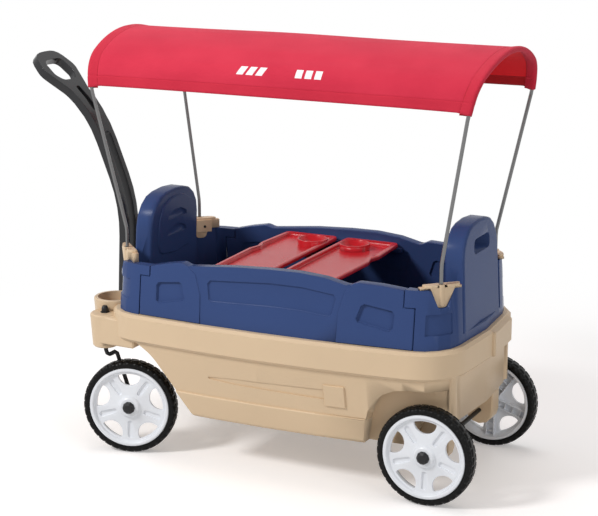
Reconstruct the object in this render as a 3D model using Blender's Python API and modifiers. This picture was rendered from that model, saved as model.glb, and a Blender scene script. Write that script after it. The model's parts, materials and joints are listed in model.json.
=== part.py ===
"""Hand-pulled wagon with a canopy, as separate closed bodies.

Metres, +Z up. The pull handle is at -X, the rear end at +X, the near side at -Y and the
floor at z = 0 below the middle of the tub.
"""
import math

import bmesh
import bpy
from mathutils import Matrix, Vector

# Running gear
GAP = 0.0003
WHEEL_RADIUS = 0.127
RIM_RADIUS = 0.109
HALF_TREAD = 0.022
AXLE_RADIUS = 0.006
BORE_RADIUS = AXLE_RADIUS + GAP
SPOKES = 5
WHEEL_FACETS = 30
REAR_AXLE_X = 0.422
REAR_WHEEL_Y = 0.239
KINGPIN_X = -0.510
KINGPIN_Y = 0.221
CASTER_TRAIL = 0.074
CASTER_OUTSET = 0.028
CASTER_YAW = math.radians(15)

# Tub
SEAM_Z = 0.395
BAND_Z = 0.320
BAND_GROWTH = 0.018
BLOCK_RISE = 0.008
FLOOR_Z = 0.130
LEDGE_Z = 0.200
SHELL = 0.005
CUP_X = -0.519
CUP_Y = 0.152
CUP_TOP = 0.402
CUP_FLOOR = 0.335

# Upper body
WALL_Z = SEAM_Z + GAP
WALL_TOP = 0.543
FRONT_TOP = 0.525
BRACKET_TOP = 0.549
WALL_THICK = 0.030
LEAN_END = 0.05
LEAN_SIDE = 0.12
SKIN = 0.004
WALL_SKIN = 0.006
POLE_Y = 0.197
POLE_REAR_X = 0.436
POLE_FRONT_X = -0.450
POLE_RADIUS = 0.005
SOCKET_FLOOR = 0.500
TRAY_Z = 0.524
TRAY_TOP = 0.537

# Handle
PIVOT = Vector((-0.572, 0.0, 0.352))
PIN_RADIUS = 0.005
EAR_INNER = 0.0345
EAR_THICK = 0.014

for old in list(bpy.data.objects):
    bpy.data.objects.remove(old)
parts = bpy.data.collections.new("wagon")
tools = bpy.data.collections.new("cutters")
bpy.context.scene.collection.children.link(parts)
bpy.context.scene.collection.children.link(tools)


def outline(corners, steps=4):
    """Closed outline through (u, v) corners; a third value rounds that corner."""
    points = []
    for index, corner in enumerate(corners):
        here = Vector(corner[:2])
        if len(corner) < 3:
            points.append(here)
            continue
        before = (Vector(corners[index - 1][:2]) - here).normalized()
        after = (Vector(corners[(index + 1) % len(corners)][:2]) - here).normalized()
        half = before.angle(after) / 2
        reach = corner[2] / math.tan(half)
        centre = here + (before + after).normalized() * (corner[2] / math.sin(half))
        first = here + before * reach - centre
        last = here + after * reach - centre
        turn = first.angle_signed(last)
        for step in range(steps + 1):
            points.append(centre + Matrix.Rotation(-turn * step / steps, 2) @ first)
    return points


def mirrored(corners):
    """Corners of one half, top to bottom, followed by their mirror image in u."""
    other = [(-corner[0], *corner[1:]) for corner in reversed(corners) if abs(corner[0]) > 1e-6]
    return list(corners) + other


PLANES = {
    "XY": Matrix.Identity(3),
    "XZ": Matrix(((1, 0, 0), (0, 0, -1), (0, 1, 0))),
    "YZ": Matrix(((0, 0, 1), (1, 0, 0), (0, 1, 0))),
}


def body(mesh, name="tool"):
    item = bpy.data.objects.new(name, mesh)
    item.hide_render = True
    item.display_type = "WIRE"
    tools.objects.link(item)
    return item


def tidy(mesh, merge=1e-6, flat=True):
    work = bmesh.new()
    work.from_mesh(mesh)
    bmesh.ops.remove_doubles(work, verts=work.verts, dist=merge)
    if flat:
        bmesh.ops.dissolve_limit(work, angle_limit=0.001, verts=work.verts, edges=work.edges)
    bmesh.ops.recalc_face_normals(work, faces=work.faces)
    work.to_mesh(mesh)
    work.free()


def slab(outlines, plane, low, high):
    """Flat piece with the given outlines (the later ones are holes) between two levels."""
    curve = bpy.data.curves.new("outline", "CURVE")
    curve.dimensions = "2D"
    curve.fill_mode = "BOTH"
    curve.extrude = (high - low) / 2
    for points in outlines:
        line = curve.splines.new("POLY")
        line.points.add(len(points) - 1)
        for knot, point in zip(line.points, points):
            knot.co = (point[0], point[1], 0, 1)
        line.use_cyclic_u = True
    holder = bpy.data.objects.new("outline", curve)
    mesh = bpy.data.meshes.new_from_object(holder)
    bpy.data.objects.remove(holder)
    turn = PLANES[plane]
    middle = turn @ Vector((0, 0, (low + high) / 2))
    if plane == "XZ":
        middle = Vector((0, (low + high) / 2, 0))
    mesh.transform(Matrix.Translation(middle) @ turn.to_4x4())
    tidy(mesh, flat=len(outlines) == 1)
    return body(mesh)


def wire(points, radius, resolution=3):
    """Round bar along a line of points."""
    curve = bpy.data.curves.new("bar", "CURVE")
    curve.dimensions = "3D"
    curve.bevel_depth = radius
    curve.bevel_resolution = resolution
    curve.use_fill_caps = True
    line = curve.splines.new("POLY")
    line.points.add(len(points) - 1)
    for knot, point in zip(line.points, points):
        knot.co = (*point, 1)
    holder = bpy.data.objects.new("bar", curve)
    mesh = bpy.data.meshes.new_from_object(holder)
    bpy.data.objects.remove(holder)
    tidy(mesh)
    return body(mesh)


def turned(profile, segments=48, closed=True):
    """Body of revolution about Z from (radius, height) points."""
    mesh = bpy.data.meshes.new("turned")
    edges = [(index, index + 1) for index in range(len(profile) - 1)]
    if closed:
        edges.append((len(profile) - 1, 0))
    mesh.from_pydata([(radius, 0, height) for radius, height in profile], edges, [])
    item = body(mesh)
    screw = item.modifiers.new("turn", "SCREW")
    screw.steps = segments
    screw.render_steps = segments
    screw.use_merge_vertices = True
    screw.merge_threshold = 1e-5
    realize(item)
    tidy(item.data, 1e-5)
    return item


def realize(item):
    """Mesh with all modifiers carried out."""
    bpy.context.view_layer.update()
    graph = bpy.context.evaluated_depsgraph_get()
    mesh = bpy.data.meshes.new_from_object(item.evaluated_get(graph))
    item.modifiers.clear()
    item.data = mesh
    return item


def combine(item, others, operation):
    for other in others:
        change = item.modifiers.new(operation.lower(), "BOOLEAN")
        change.operation = operation
        change.solver = "EXACT"
        change.object = other
    return item


def cut(item, *others):
    return combine(item, others, "DIFFERENCE")


def join(item, *others):
    return combine(item, others, "UNION")


def keep(item, *others):
    return combine(item, others, "INTERSECT")


def soften(item, width, segments=2, angle=50):
    """Rounded edges wherever two faces meet at more than the angle."""
    edge = item.modifiers.new("edge", "BEVEL")
    edge.width = width
    edge.segments = segments
    edge.limit_method = "ANGLE"
    edge.angle_limit = math.radians(angle)
    edge.use_clamp_overlap = True
    return item


def reshape(item, rule, stations=(), axis=0):
    """Moves every vertex by a rule, after cuts across the axis at the stations."""
    realize(item)
    normal = Vector((0, 0, 0))
    normal[axis] = 1
    work = bmesh.new()
    work.from_mesh(item.data)
    for station in stations:
        geometry = work.verts[:] + work.edges[:] + work.faces[:]
        bmesh.ops.bisect_plane(work, geom=geometry, dist=1e-6, plane_co=normal * station, plane_no=normal)
    for vertex in work.verts:
        vertex.co = rule(vertex.co)
    bmesh.ops.triangulate(work, faces=work.faces)
    bmesh.ops.recalc_face_normals(work, faces=work.faces)
    work.to_mesh(item.data)
    work.free()
    return item


def placed(item, matrix):
    realize(item)
    item.data.transform(matrix)
    tidy(item.data)
    return item


def double(item, matrix):
    """Copy of a body, moved by a matrix."""
    realize(item)
    other = body(item.data.copy())
    other.data.transform(matrix)
    tidy(other.data)
    return other


def across(item):
    """Mirror image in the plane y = 0."""
    return double(item, Matrix.Scale(-1, 4, (0, 1, 0)))


def paint(name, colour, roughness, metallic=0.0):
    material = bpy.data.materials.new(name)
    material.use_nodes = True
    shader = material.node_tree.nodes["Principled BSDF"]
    shader.inputs["Base Color"].default_value = (*colour, 1)
    shader.inputs["Roughness"].default_value = roughness
    shader.inputs["Metallic"].default_value = metallic
    return material


def piece(item, name, material, origin=(0, 0, 0), smooth=30):
    """Finished part with its own origin and material."""
    realize(item)
    tidy(item.data, 1e-5)
    item.data.transform(Matrix.Translation(-Vector(origin)))
    item.location = origin
    item.name = name
    item.hide_render = False
    item.display_type = "TEXTURED"
    tools.objects.unlink(item)
    parts.objects.link(item)
    item.data.materials.clear()
    item.data.materials.append(material)
    item.data.shade_smooth()
    item.data.set_sharp_from_angle(angle=math.radians(smooth))
    return item


def shifted(x=0.0, y=0.0, z=0.0):
    return Matrix.Translation((x, y, z))


def side_y(x):
    """Half width of the upper body's foot, widest a little ahead of the middle."""
    return 0.279 - 0.132 * (x + 0.03) ** 2


STATIONS = (-0.34, -0.18, -0.03, 0.12, 0.27, 0.36)


def plan(grow, steps=4):
    """Foot of the upper body seen from above, grown outward."""
    near = [(-0.475 - grow, -side_y(-0.475) - grow, 0.088 + grow)]
    near += [(x, -side_y(x) - grow) for x in STATIONS]
    near += [(0.467 + grow, -side_y(0.467) - grow, 0.105 + grow), (0.485 + grow, 0)]
    far = [(x, -y, *rest) for x, y, *rest in reversed(near[:-1])]
    return outline(near + far + [(-0.481 - grow, 0)], steps)


def bowed(point):
    """Follows the curve of the sides seen from above."""
    side = 1 if point.y > 0 else -1
    return Vector((point.x, point.y + side * (side_y(point.x) - side_y(-0.03)), point.z))


def cone(x, y, low, high, radius_low, radius_high, segments=18):
    profile = [(0, high), (radius_high, high), (radius_low, low), (0, low)]
    return placed(turned(profile, segments, False), shifted(x, y))


def crosswise(x, z, radius, low, high, segments=20):
    """Round bar or bore along Y."""
    item = turned([(0, high), (radius, high), (radius, low), (0, low)], segments, False)
    return placed(item, shifted(x, 0, z) @ Matrix.Rotation(math.radians(-90), 4, "X"))


# Moulded tub


def hull_section(inset):
    """Half widths of the hull relative to the widest point of the body's foot."""
    wide = 0.279
    return mirrored([(wide + 0.007 - inset, 0.330), (wide - 0.0205 - inset, LEDGE_Z),
                     (wide - 0.033 - inset, FLOOR_Z + inset, 0.010)])


def hull_side(inset):
    """Hull from the side: raked front, flat floor and a step up ahead of the rear axle."""
    return [(-0.415 + inset, 0.335), (-0.345 + inset, 0.290, 0.12),
            (-0.232 + inset, FLOOR_Z + inset, 0.02), (0.365 - inset, FLOOR_Z + inset, 0.01),
            (0.400 - inset, 0.205 + inset, 0.01), (0.520, 0.205 + inset), (0.520, 0.335)]


def hull(inset):
    item = slab([outline(hull_section(inset), 3)], "YZ", -0.45, 0.52)
    reshape(item, bowed, STATIONS)
    return keep(item, slab([outline(hull_side(inset), 4)], "XZ", -0.35, 0.35),
                slab([plan(0.006 - inset)], "XY", 0.1, 0.34))


def wheel_wells(spare):
    """Hollows beside the hull for the rear wheels."""
    arch = [(0.246 - spare, 0.08), (0.272 - spare, 0.292 + spare, 0.115 + spare),
            (0.56, 0.292 + spare), (0.56, 0.08)]
    near = slab([outline(arch, 5)], "XZ", -0.34, -0.200 + spare)
    return near, across(near)


def make_tub(material):
    tub = soften(slab([plan(BAND_GROWTH)], "XY", BAND_Z, SEAM_Z), 0.008, 1)
    block = slab([plan(BAND_GROWTH + BLOCK_RISE)], "XY", BAND_Z + 0.004, SEAM_Z - 0.005)
    keep(block, slab([[(0.44, 0.002), (0.56, 0.002), (0.56, 0.160), (0.44, 0.160)]], "XY", 0.30, 0.42))
    join(tub, soften(realize(block), 0.004, 1, 40))
    sill = slab([outline(mirrored([(0.2635, 0.198, 0.004), (0.249, FLOOR_Z, 0.012)]), 3)],
                "YZ", -0.40, 0.36)
    reshape(sill, bowed, STATIONS)
    keep(sill, slab([outline(hull_side(0), 4)], "XZ", -0.35, 0.35))
    shell = join(hull(0), sill)
    cut(shell, *wheel_wells(0))
    join(tub, realize(shell))

    # Corner pillars and grooves at the rear
    pillar = cone(0.466, -0.190, 0.208, 0.325, 0.014, 0.014, 16)
    groove = cone(0.494, -0.170, 0.225, 0.300, 0.010, 0.010, 12)
    join(tub, pillar, across(pillar))
    cut(tub, groove, across(groove))

    # Legs of the rear axle
    leg = [(0.384, 0.215), (0.384, 0.089, 0.036), (0.460, 0.089, 0.036), (0.460, 0.215)]
    leg = soften(slab([outline(leg, 3)], "XZ", -0.190, -0.140), 0.004, 1)
    join(tub, leg, across(leg))

    # Swivel bosses, cup holders and the bridge between them
    boss = cone(KINGPIN_X, -KINGPIN_Y, 0.283, 0.375, 0.034, 0.040)
    soften(boss, 0.004, 1, 60)
    ring = cone(CUP_X, -CUP_Y, 0.290, CUP_TOP, 0.050, 0.058)
    soften(ring, 0.003, 1, 60)
    cut(realize(ring), slab([plan(GAP)], "XY", 0.385, 0.43))
    web = slab([[(-0.400, -0.262), (-0.510, -0.2565), (-0.510, -0.150), (-0.400, -0.150)]],
               "XY", 0.297, 0.372)
    soften(web, 0.004, 1)
    for item in (boss, ring, web):
        realize(item)
        join(tub, item, across(item))

    # Ears of the handle pin
    ear = [(-0.47, 0.388), (-0.597, 0.380, 0.024), (-0.597, 0.327, 0.024), (-0.47, 0.322)]
    for low in (-EAR_INNER - EAR_THICK, EAR_INNER):
        join(tub, soften(slab([outline(ear, 3)], "XZ", low, low + EAR_THICK), 0.003, 1))

    # Finger groove and pad on both sides
    groove = [(-0.214, 0.253, 0.003), (-0.100, 0.244), (0.160, 0.240), (0.160, 0.268), (-0.100, 0.260)]
    groove = slab([outline(groove)], "XZ", -0.030, 0.003)
    pad = soften(slab([[(0.155, 0.222), (0.212, 0.222), (0.212, 0.282), (0.155, 0.282)]],
                      "XZ", -0.004, 0.003), 0.002, 1)
    for item, change in ((groove, cut), (pad, join)):
        reshape(item, on_hull, (0.0,))
        change(tub, item, across(item))

    # Hollow inside
    inside = join(slab([plan(-0.017)], "XY", BAND_Z + 0.005, SEAM_Z + 0.02), hull(SHELL))
    cut(inside, *wheel_wells(SHELL))
    cut(tub, realize(inside))
    cup = cone(CUP_X, -CUP_Y, CUP_FLOOR, CUP_TOP + 0.01, 0.044, 0.048)
    bore = cone(KINGPIN_X, -KINGPIN_Y, 0.25, 0.40, 0.0083, 0.0083, 16)
    cut(tub, cup, across(cup), bore, across(bore))
    cut(tub, crosswise(REAR_AXLE_X, WHEEL_RADIUS, BORE_RADIUS, -0.3, 0.3),
        crosswise(PIVOT.x, PIVOT.z, PIN_RADIUS + GAP, -0.1, 0.1, 16))
    return piece(tub, "tub", material)


def on_hull(point):
    """Carries a flat cutter, drawn with depth in Y, onto the near side of the hull."""
    slope = (0.007 + 0.0205) / (0.330 - LEDGE_Z)
    wide = side_y(point.x) - 0.0205 + slope * (point.z - LEDGE_Z)
    return Vector((point.x, point.y - wide, point.z))



def make_liner(material):
    """Seats and footwell, one open moulding that rests on the floor of the tub."""
    bottom = FLOOR_Z + SHELL + GAP

    def well(inset):
        side = [(-0.245 + inset, 0.345), (-0.205 + inset, bottom + inset, 0.02),
                (0.205 - inset, bottom + inset, 0.02), (0.235 - inset, 0.345)]
        return slab([outline(side)], "XZ", -0.205 + inset, 0.205 - inset)

    liner = slab([plan(-0.0178)], "XY", BAND_Z + 0.0056, SEAM_Z - 0.0008)
    join(liner, well(0))
    hollow = slab([plan(-0.0178 - SKIN)], "XY", BAND_Z + 0.0056 + SKIN, SEAM_Z + 0.01)
    cut(liner, realize(join(hollow, well(SKIN))))
    return piece(liner, "cabin_liner", material)


# Upper body


def leaned(point):
    """Walls lean inward as they rise."""
    rise = point.z - WALL_Z
    core = Vector((min(max(point.x, -0.39), 0.40), min(max(point.y, -0.165), 0.165)))
    out = point.xy - core
    if out.length > 1e-6:
        out.normalize()
    return Vector((point.x - out.x * LEAN_END * rise, point.y - out.y * LEAN_SIDE * rise, point.z))


def inner_plan(grow):
    """Inside of the walls, with the corners cut off where the brackets sit."""
    near = [(-0.4525 - grow, -0.182 - 0.4 * grow), (-0.413 - 0.4 * grow, -0.232 - grow)]
    near += [(x, -side_y(x) + WALL_THICK - grow) for x in STATIONS]
    near += [(0.399 + 0.4 * grow, -0.232 - grow), (0.4555 + grow, -0.165 - 0.4 * grow)]
    return near + [(x, -y) for x, y in reversed(near)]


LAP_REAR = [(0.388, 0.36), (0.388, 0.500), (0.360, 0.500), (0.360, 0.60), (0.60, 0.60), (0.60, 0.36)]
LAP_FRONT = [(-0.381, 0.36), (-0.381, 0.500), (-0.352, 0.500), (-0.352, 0.60), (-0.60, 0.60), (-0.60, 0.36)]
NOTCH = [(-0.038, 0.60), (-0.036, 0.546), (-0.012, 0.498, 0.010), (0.012, 0.498, 0.010),
         (0.030, 0.546), (0.031, 0.60)]
BACK = [(0.0, 0.681), (0.125, 0.672, 0.085), (0.128, 0.530, 0.2), (0.131, 0.40)]
BACK_THICK = 0.052


def back_outline(inset, bottom):
    """Seat back seen from the rear, narrower toward its rounded top."""
    corners = [(0.0, BACK[0][1] - inset)]
    corners += [(u - inset, v - inset, radius - inset) for u, v, radius in BACK[1:3]]
    return outline(mirrored(corners + [(BACK[3][0] - inset, bottom)]), 4 if inset == 0 else 3)


def corner_frame(pole_x, pole_y):
    """Local axes of a bracket: along the wall toward the side panel, outward, up."""
    end = 1 if pole_x > 0 else -1
    side = 1 if pole_y > 0 else -1
    along = Vector((-end, side, 0)).normalized()
    out = Vector((end, side, 0)).normalized()
    frame = Matrix((along, out, Vector((0, 0, 1)))).transposed().to_4x4()
    return Matrix.Translation((pole_x, pole_y, 0)) @ frame


def diagonal(points, inner, outer, frame):
    """Slab across a corner, drawn as (along the wall, height) points."""
    item = slab([points], "XZ", inner, outer)
    return placed(item, frame)


def make_end(name, end, lap, pole_x, wall_top, material):
    walls = slab([plan(0), inner_plan(0)], "XY", WALL_Z - 0.02, wall_top)
    reshape(walls, leaned)
    keep(walls, slab([lap], "XZ", -0.4, 0.4))
    face = end * 0.4555
    cut(walls, slab([[(face + end * 0.0105, -0.136), (face + end * 0.0105, 0.136),
                      (face + end * 0.1, 0.136), (face + end * 0.1, -0.136)]], "XY", 0.418, 0.60))
    soften(realize(walls), 0.004, 1, 40)
    below = slab([[(-0.6, -0.4), (0.6, -0.4), (0.6, 0.4), (-0.6, 0.4)]], "XY", 0.30, WALL_Z)
    realize(cut(walls, below))

    # Hollow below the walls and the seat back
    hollow = slab([plan(-WALL_SKIN), inner_plan(WALL_SKIN)], "XY", WALL_Z - 0.02, wall_top - WALL_SKIN)
    reshape(hollow, leaned)
    inset_lap = [(x + end * WALL_SKIN, z + (0.004 if 0.45 < z < 0.55 else 0)) for x, z in lap]
    keep(hollow, slab([inset_lap], "XZ", -0.4, 0.4))
    cut(hollow, slab([[(0.43 * end, -0.151), (0.43 * end, 0.151), (0.6 * end, 0.151),
                       (0.6 * end, -0.151)]], "XY", 0.36, 0.60))
    for side in (-1, 1):
        frame = corner_frame(pole_x, side * POLE_Y)
        grown = [(1.2 * u, v - 0.006) for u, v, *_ in NOTCH]
        cut(hollow, diagonal(grown, -0.06, 0.06, frame))

    inner, outer = sorted((end * 0.425, end * (0.425 + BACK_THICK)))
    back = soften(slab([back_outline(0, WALL_Z + 0.006)], "YZ", inner, outer), 0.008, 2)
    realize(back)
    pad = [(0.0, 0.662), (0.086, 0.655, 0.060), (0.096, 0.560, 0.10), (0.091, 0.512, 0.028), (0.0, 0.502)]
    low, high = sorted((end * 0.419, end * 0.43))
    pad = soften(slab([outline(mirrored(pad), 2)], "YZ", low, high), 0.004, 1)
    join(back, realize(pad))
    low, high = sorted((end * 0.41, end * 0.426))
    for base in (0.556, 0.600):
        slot = [(-0.052, base), (0.052, base), (0.050, base + 0.012, 0.01), (0.0, base + 0.030, 0.05),
                (-0.050, base + 0.012, 0.01)]
        cut(back, slab([outline(slot, 1)], "YZ", low, high))
    chamber = slab([back_outline(0.0065, WALL_Z - 0.02)], "YZ", inner + 0.006, outer - 0.006)
    if end > 0:
        hold = [(-0.050, 0.598, 0.012), (0.062, 0.598, 0.012), (0.062, 0.637, 0.016), (-0.050, 0.637, 0.016)]
        wide = [(u * 1.12, v + (0.007 if v > 0.61 else -0.007), radius) for u, v, radius in hold]
        cut(back, slab([outline(hold, 3)], "YZ", inner + 0.014, outer + 0.05))
        cut(chamber, slab([outline(wide, 2)], "YZ", inner + 0.008, outer + 0.05))
    reshape(back, leaned)
    reshape(chamber, leaned)
    join(walls, back)
    cut(walls, realize(hollow), chamber)

    # Recess round each corner, and the notches of the brackets
    band = slab([plan(0.02), plan(-0.0035)], "XY", 0.432, 0.484)
    reshape(band, leaned)
    corner = [[(end * 0.413, 0.184), (end * 0.6, 0.184), (end * 0.6, 0.35), (end * 0.413, 0.35)]]
    keep(band, slab(corner, "XY", 0.40, 0.52))
    soften(realize(band), 0.003, 1, 60)
    cut(walls, band, across(band))
    for side in (-1, 1):
        cut(walls, diagonal(outline(NOTCH), -0.06, 0.06, corner_frame(pole_x, side * POLE_Y)))
    return piece(walls, name, material)


PANEL_TOP = [(-0.3793, 0.380), (-0.3793, 0.4985), (-0.3502, 0.4985), (-0.3502, 0.526), (-0.300, 0.538),
             (-0.254, 0.546, 0.02), (-0.234, 0.539, 0.02), (-0.100, 0.552), (0.0, 0.557), (0.080, 0.558),
             (0.150, 0.552), (0.213, 0.538, 0.02), (0.235, 0.549, 0.02), (0.300, 0.547), (0.3582, 0.541),
             (0.3582, 0.4985), (0.3863, 0.4985), (0.3863, 0.380)]
CREASES = [(-0.243, 0.60), (-0.243, 0.545), (-0.212, 0.52), (-0.196, 0.47), (-0.193, 0.37),
           (0.188, 0.37), (0.192, 0.47), (0.206, 0.52), (0.224, 0.545), (0.224, 0.60)]
RECESSES = [
    [(-0.329, 0.487, 0.008), (-0.252, 0.497, 0.008), (-0.239, 0.450, 0.006), (-0.329, 0.430, 0.008)],
    [(-0.178, 0.510, 0.008), (0.0, 0.523), (0.088, 0.523), (0.185, 0.512, 0.008), (0.172, 0.455, 0.008),
     (0.088, 0.462), (0.0, 0.462), (-0.170, 0.455, 0.008)],
    [(0.252, 0.500, 0.008), (0.338, 0.487, 0.008), (0.334, 0.434, 0.008), (0.235, 0.453, 0.006)],
]


def on_side(point):
    """Carries a panel drawn with its outer face at y = 0 onto the near side."""
    rise = point.z - WALL_Z
    return Vector((point.x, point.y - side_y(point.x) + LEAN_SIDE * rise, point.z))


def make_panel(material):
    flat = [(x, max(z, WALL_Z), *rest) for x, z, *rest in PANEL_TOP]
    panel = soften(slab([outline(flat, 2)], "XZ", 0, WALL_THICK), 0.0025, 1, 40)
    realize(panel)
    middle = [(x, z) for x, z in CREASES]
    cut(panel, soften(slab([middle], "XZ", -0.05, 0.003), 0.002, 1))
    for points in RECESSES:
        shape = outline(points, 1)
        cut(panel, soften(slab([shape], "XZ", -0.05, 0.008), 0.003, 1, 60))
        cut(panel, slab([shape], "XZ", WALL_THICK - 0.005, 0.08))
    low = [(x * 0.985, min(z, 0.535) - 0.006) for x, z, *_ in PANEL_TOP]
    cut(panel, slab([low], "XZ", 0.0115, WALL_THICK - 0.0085))
    ledge = slab([[(-0.195, 0.508), (-0.195, TRAY_Z - GAP), (0.160, TRAY_Z - GAP), (0.160, 0.508)]],
                 "XZ", WALL_THICK - 0.002, WALL_THICK + 0.012)
    join(panel, soften(ledge, 0.002, 1))
    reshape(panel, on_side, STATIONS)
    return panel


# Snack trays


def make_tray(name, flip, middle_x, cup, material):
    """Shallow tray with a wavy outer edge and a cup well near the far side."""
    def rim(inset):
        straight, wave = -0.080 + inset, 0.080 - inset
        ends = 0.225 - inset
        edge = [(wave - 0.005, ends, 0.012), (wave + 0.003, 0.070, 0.05), (wave - 0.006, 0.036, 0.02),
                (wave + 0.003, 0.000, 0.03), (wave - 0.003, -ends, 0.012)]
        return outline([(flip * x, y, *r) for x, y, *r in edge]
                       + [(flip * straight, -ends, 0.012), (flip * straight, ends, 0.012)], 2)

    tray = soften(slab([rim(0)], "XY", TRAY_Z, TRAY_TOP), 0.003, 1)
    realize(tray)
    well = soften(cone(cup[0], cup[1], 0.496, TRAY_TOP + 0.007, 0.036, 0.0425, 20), 0.002, 1, 60)
    pocket = soften(slab([rim(0.011)], "XY", TRAY_Z + 0.003, TRAY_TOP + 0.02), 0.002, 1)
    cut(tray, realize(pocket))
    join(tray, realize(well))
    cut(tray, cone(cup[0], cup[1], 0.4985, TRAY_TOP + 0.02, 0.0335, 0.0395, 20))
    realize(tray)
    tray.data.transform(shifted(middle_x))
    return piece(tray, name, material, (middle_x, 0, TRAY_Z))


# Canopy frame


PLATE_INNER = -0.0202
PLATE_OUTER = -0.0156


def make_bracket(name, pole_x, pole_y, wall_top, tan, black):
    """Wedge in the notch of a corner, with a socket for the pole and a plate inside."""
    frame = corner_frame(pole_x, pole_y)
    clear = [(u * 0.965, v + 0.0008, *radius) for u, v, *radius in NOTCH[1:5]]
    top = BRACKET_TOP
    wedge = [(NOTCH[1][0] * 0.97, top), *clear, (NOTCH[4][0] * 0.97, top)]
    bracket = diagonal(outline(wedge), PLATE_INNER + 0.002, 0.006, frame)
    socket = cone(pole_x, pole_y, SOCKET_FLOOR + 0.002, top + 0.007, 0.0095, 0.0095, 12)
    tongue = [(-0.056, PLATE_OUTER - 0.001), (-0.056, -0.002), (0.054, -0.002), (0.054, PLATE_OUTER - 0.001)]
    tongue = placed(slab([tongue], "XY", wall_top + GAP, top), frame)
    plate = diagonal([(-0.012, 0.516), (0.030, 0.516), (0.030, top), (-0.012, top)], PLATE_INNER, PLATE_OUTER,
                     frame)
    join(bracket, tongue, plate, socket)
    cut(bracket, cone(pole_x, pole_y, SOCKET_FLOOR + 0.004, 0.60, 0.0056, 0.0056, 12))
    screw_frame = frame @ shifted(0.010, PLATE_INNER - GAP, 0.531) @ Matrix.Rotation(math.radians(90), 4, "X")
    screw = turned([(0, 0.003), (0.003, 0.0022), (0.0042, 0), (0, 0)], 10, False)
    piece(bracket, name, tan, (pole_x, pole_y, SOCKET_FLOOR))
    piece(placed(screw, screw_frame), name + "_screw", black)


HOOP_BEND_Z = 0.605
HOOP_LEAN = 0.197
APEX_Z = 1.1055


def tilt(end, z):
    """Distance of a hoop's middle line from the middle of the wagon."""
    foot = POLE_REAR_X if end > 0 else POLE_FRONT_X
    return foot + end * HOOP_LEAN * max(0.0, z - HOOP_BEND_Z)


def hoop_line(grow):
    """Leaning part of the hoop from the rear, as (y, z) points."""
    arch = outline([(-0.1975 - grow, 0.600), (-0.240 - grow, 1.034 + grow, 0.10 + grow),
                    (0, 1.158 + grow, 0.40), (0.240 + grow, 1.034 + grow, 0.10 + grow),
                    (0.1975 + grow, 0.600)], 5)
    return arch


def make_hoop(name, end, material):
    foot = tilt(end, 0)
    arch = hoop_line(0)[1:-1]
    line = [(foot, -POLE_Y, SOCKET_FLOOR + 0.006), (foot, -POLE_Y, HOOP_BEND_Z - 0.012),
            (foot + end * 0.001, -POLE_Y - 0.0006, HOOP_BEND_Z + 0.004)]
    other = [(x, -y, z) for x, y, z in reversed(line)]
    middle = [(tilt(end, z), y, z) for y, z in arch]
    hoop = wire(line + middle + other, POLE_RADIUS, 1)
    return piece(hoop, name, material, (foot, 0, SOCKET_FLOOR), 40)


CANOPY_LOW = 0.985
CANOPY_OVER = 0.012
CLOTH = 0.003


def make_canopy(material):
    """Cloth over both hoops, open underneath."""
    def line(grow):
        high = [point for point in hoop_line(grow)[1:-1] if point[1] > CANOPY_LOW + 0.01]
        slope = (0.240 - 0.1975) / (1.034 - 0.600)
        foot = 0.1975 + grow + slope * (CANOPY_LOW - 0.600)
        return [Vector((-foot, CANOPY_LOW)), *high, Vector((foot, CANOPY_LOW))]

    outer = line(POLE_RADIUS + GAP + CLOTH)
    inner = line(POLE_RADIUS + GAP)
    canopy = slab([outer + list(reversed(inner))], "YZ", -1, 1)

    def stretched(point):
        end = 1 if point.x > 0 else -1
        reach = tilt(end, point.z) + end * CANOPY_OVER
        across_x = abs(point.x)
        sag = 0.006 * (1 - across_x ** 2)
        return Vector((reach * across_x, point.y * (1 - 0.03 * (1 - across_x ** 2)), point.z - sag))

    reshape(canopy, stretched, (-0.93, -0.45, 0.45, 0.93))
    return piece(canopy, "canopy", material, (0, 0, APEX_Z))


# Pull handle

HANDLE_LENGTH = 0.770


def handle_spine(steps=4):
    line = outline([(-0.572, 0.345), (-0.560, 0.62, 0.4), (-0.66, 0.875, 0.35), (-0.83, 1.02)], steps)
    return [Vector((point[0], 0, point[1])) for point in line]


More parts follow.
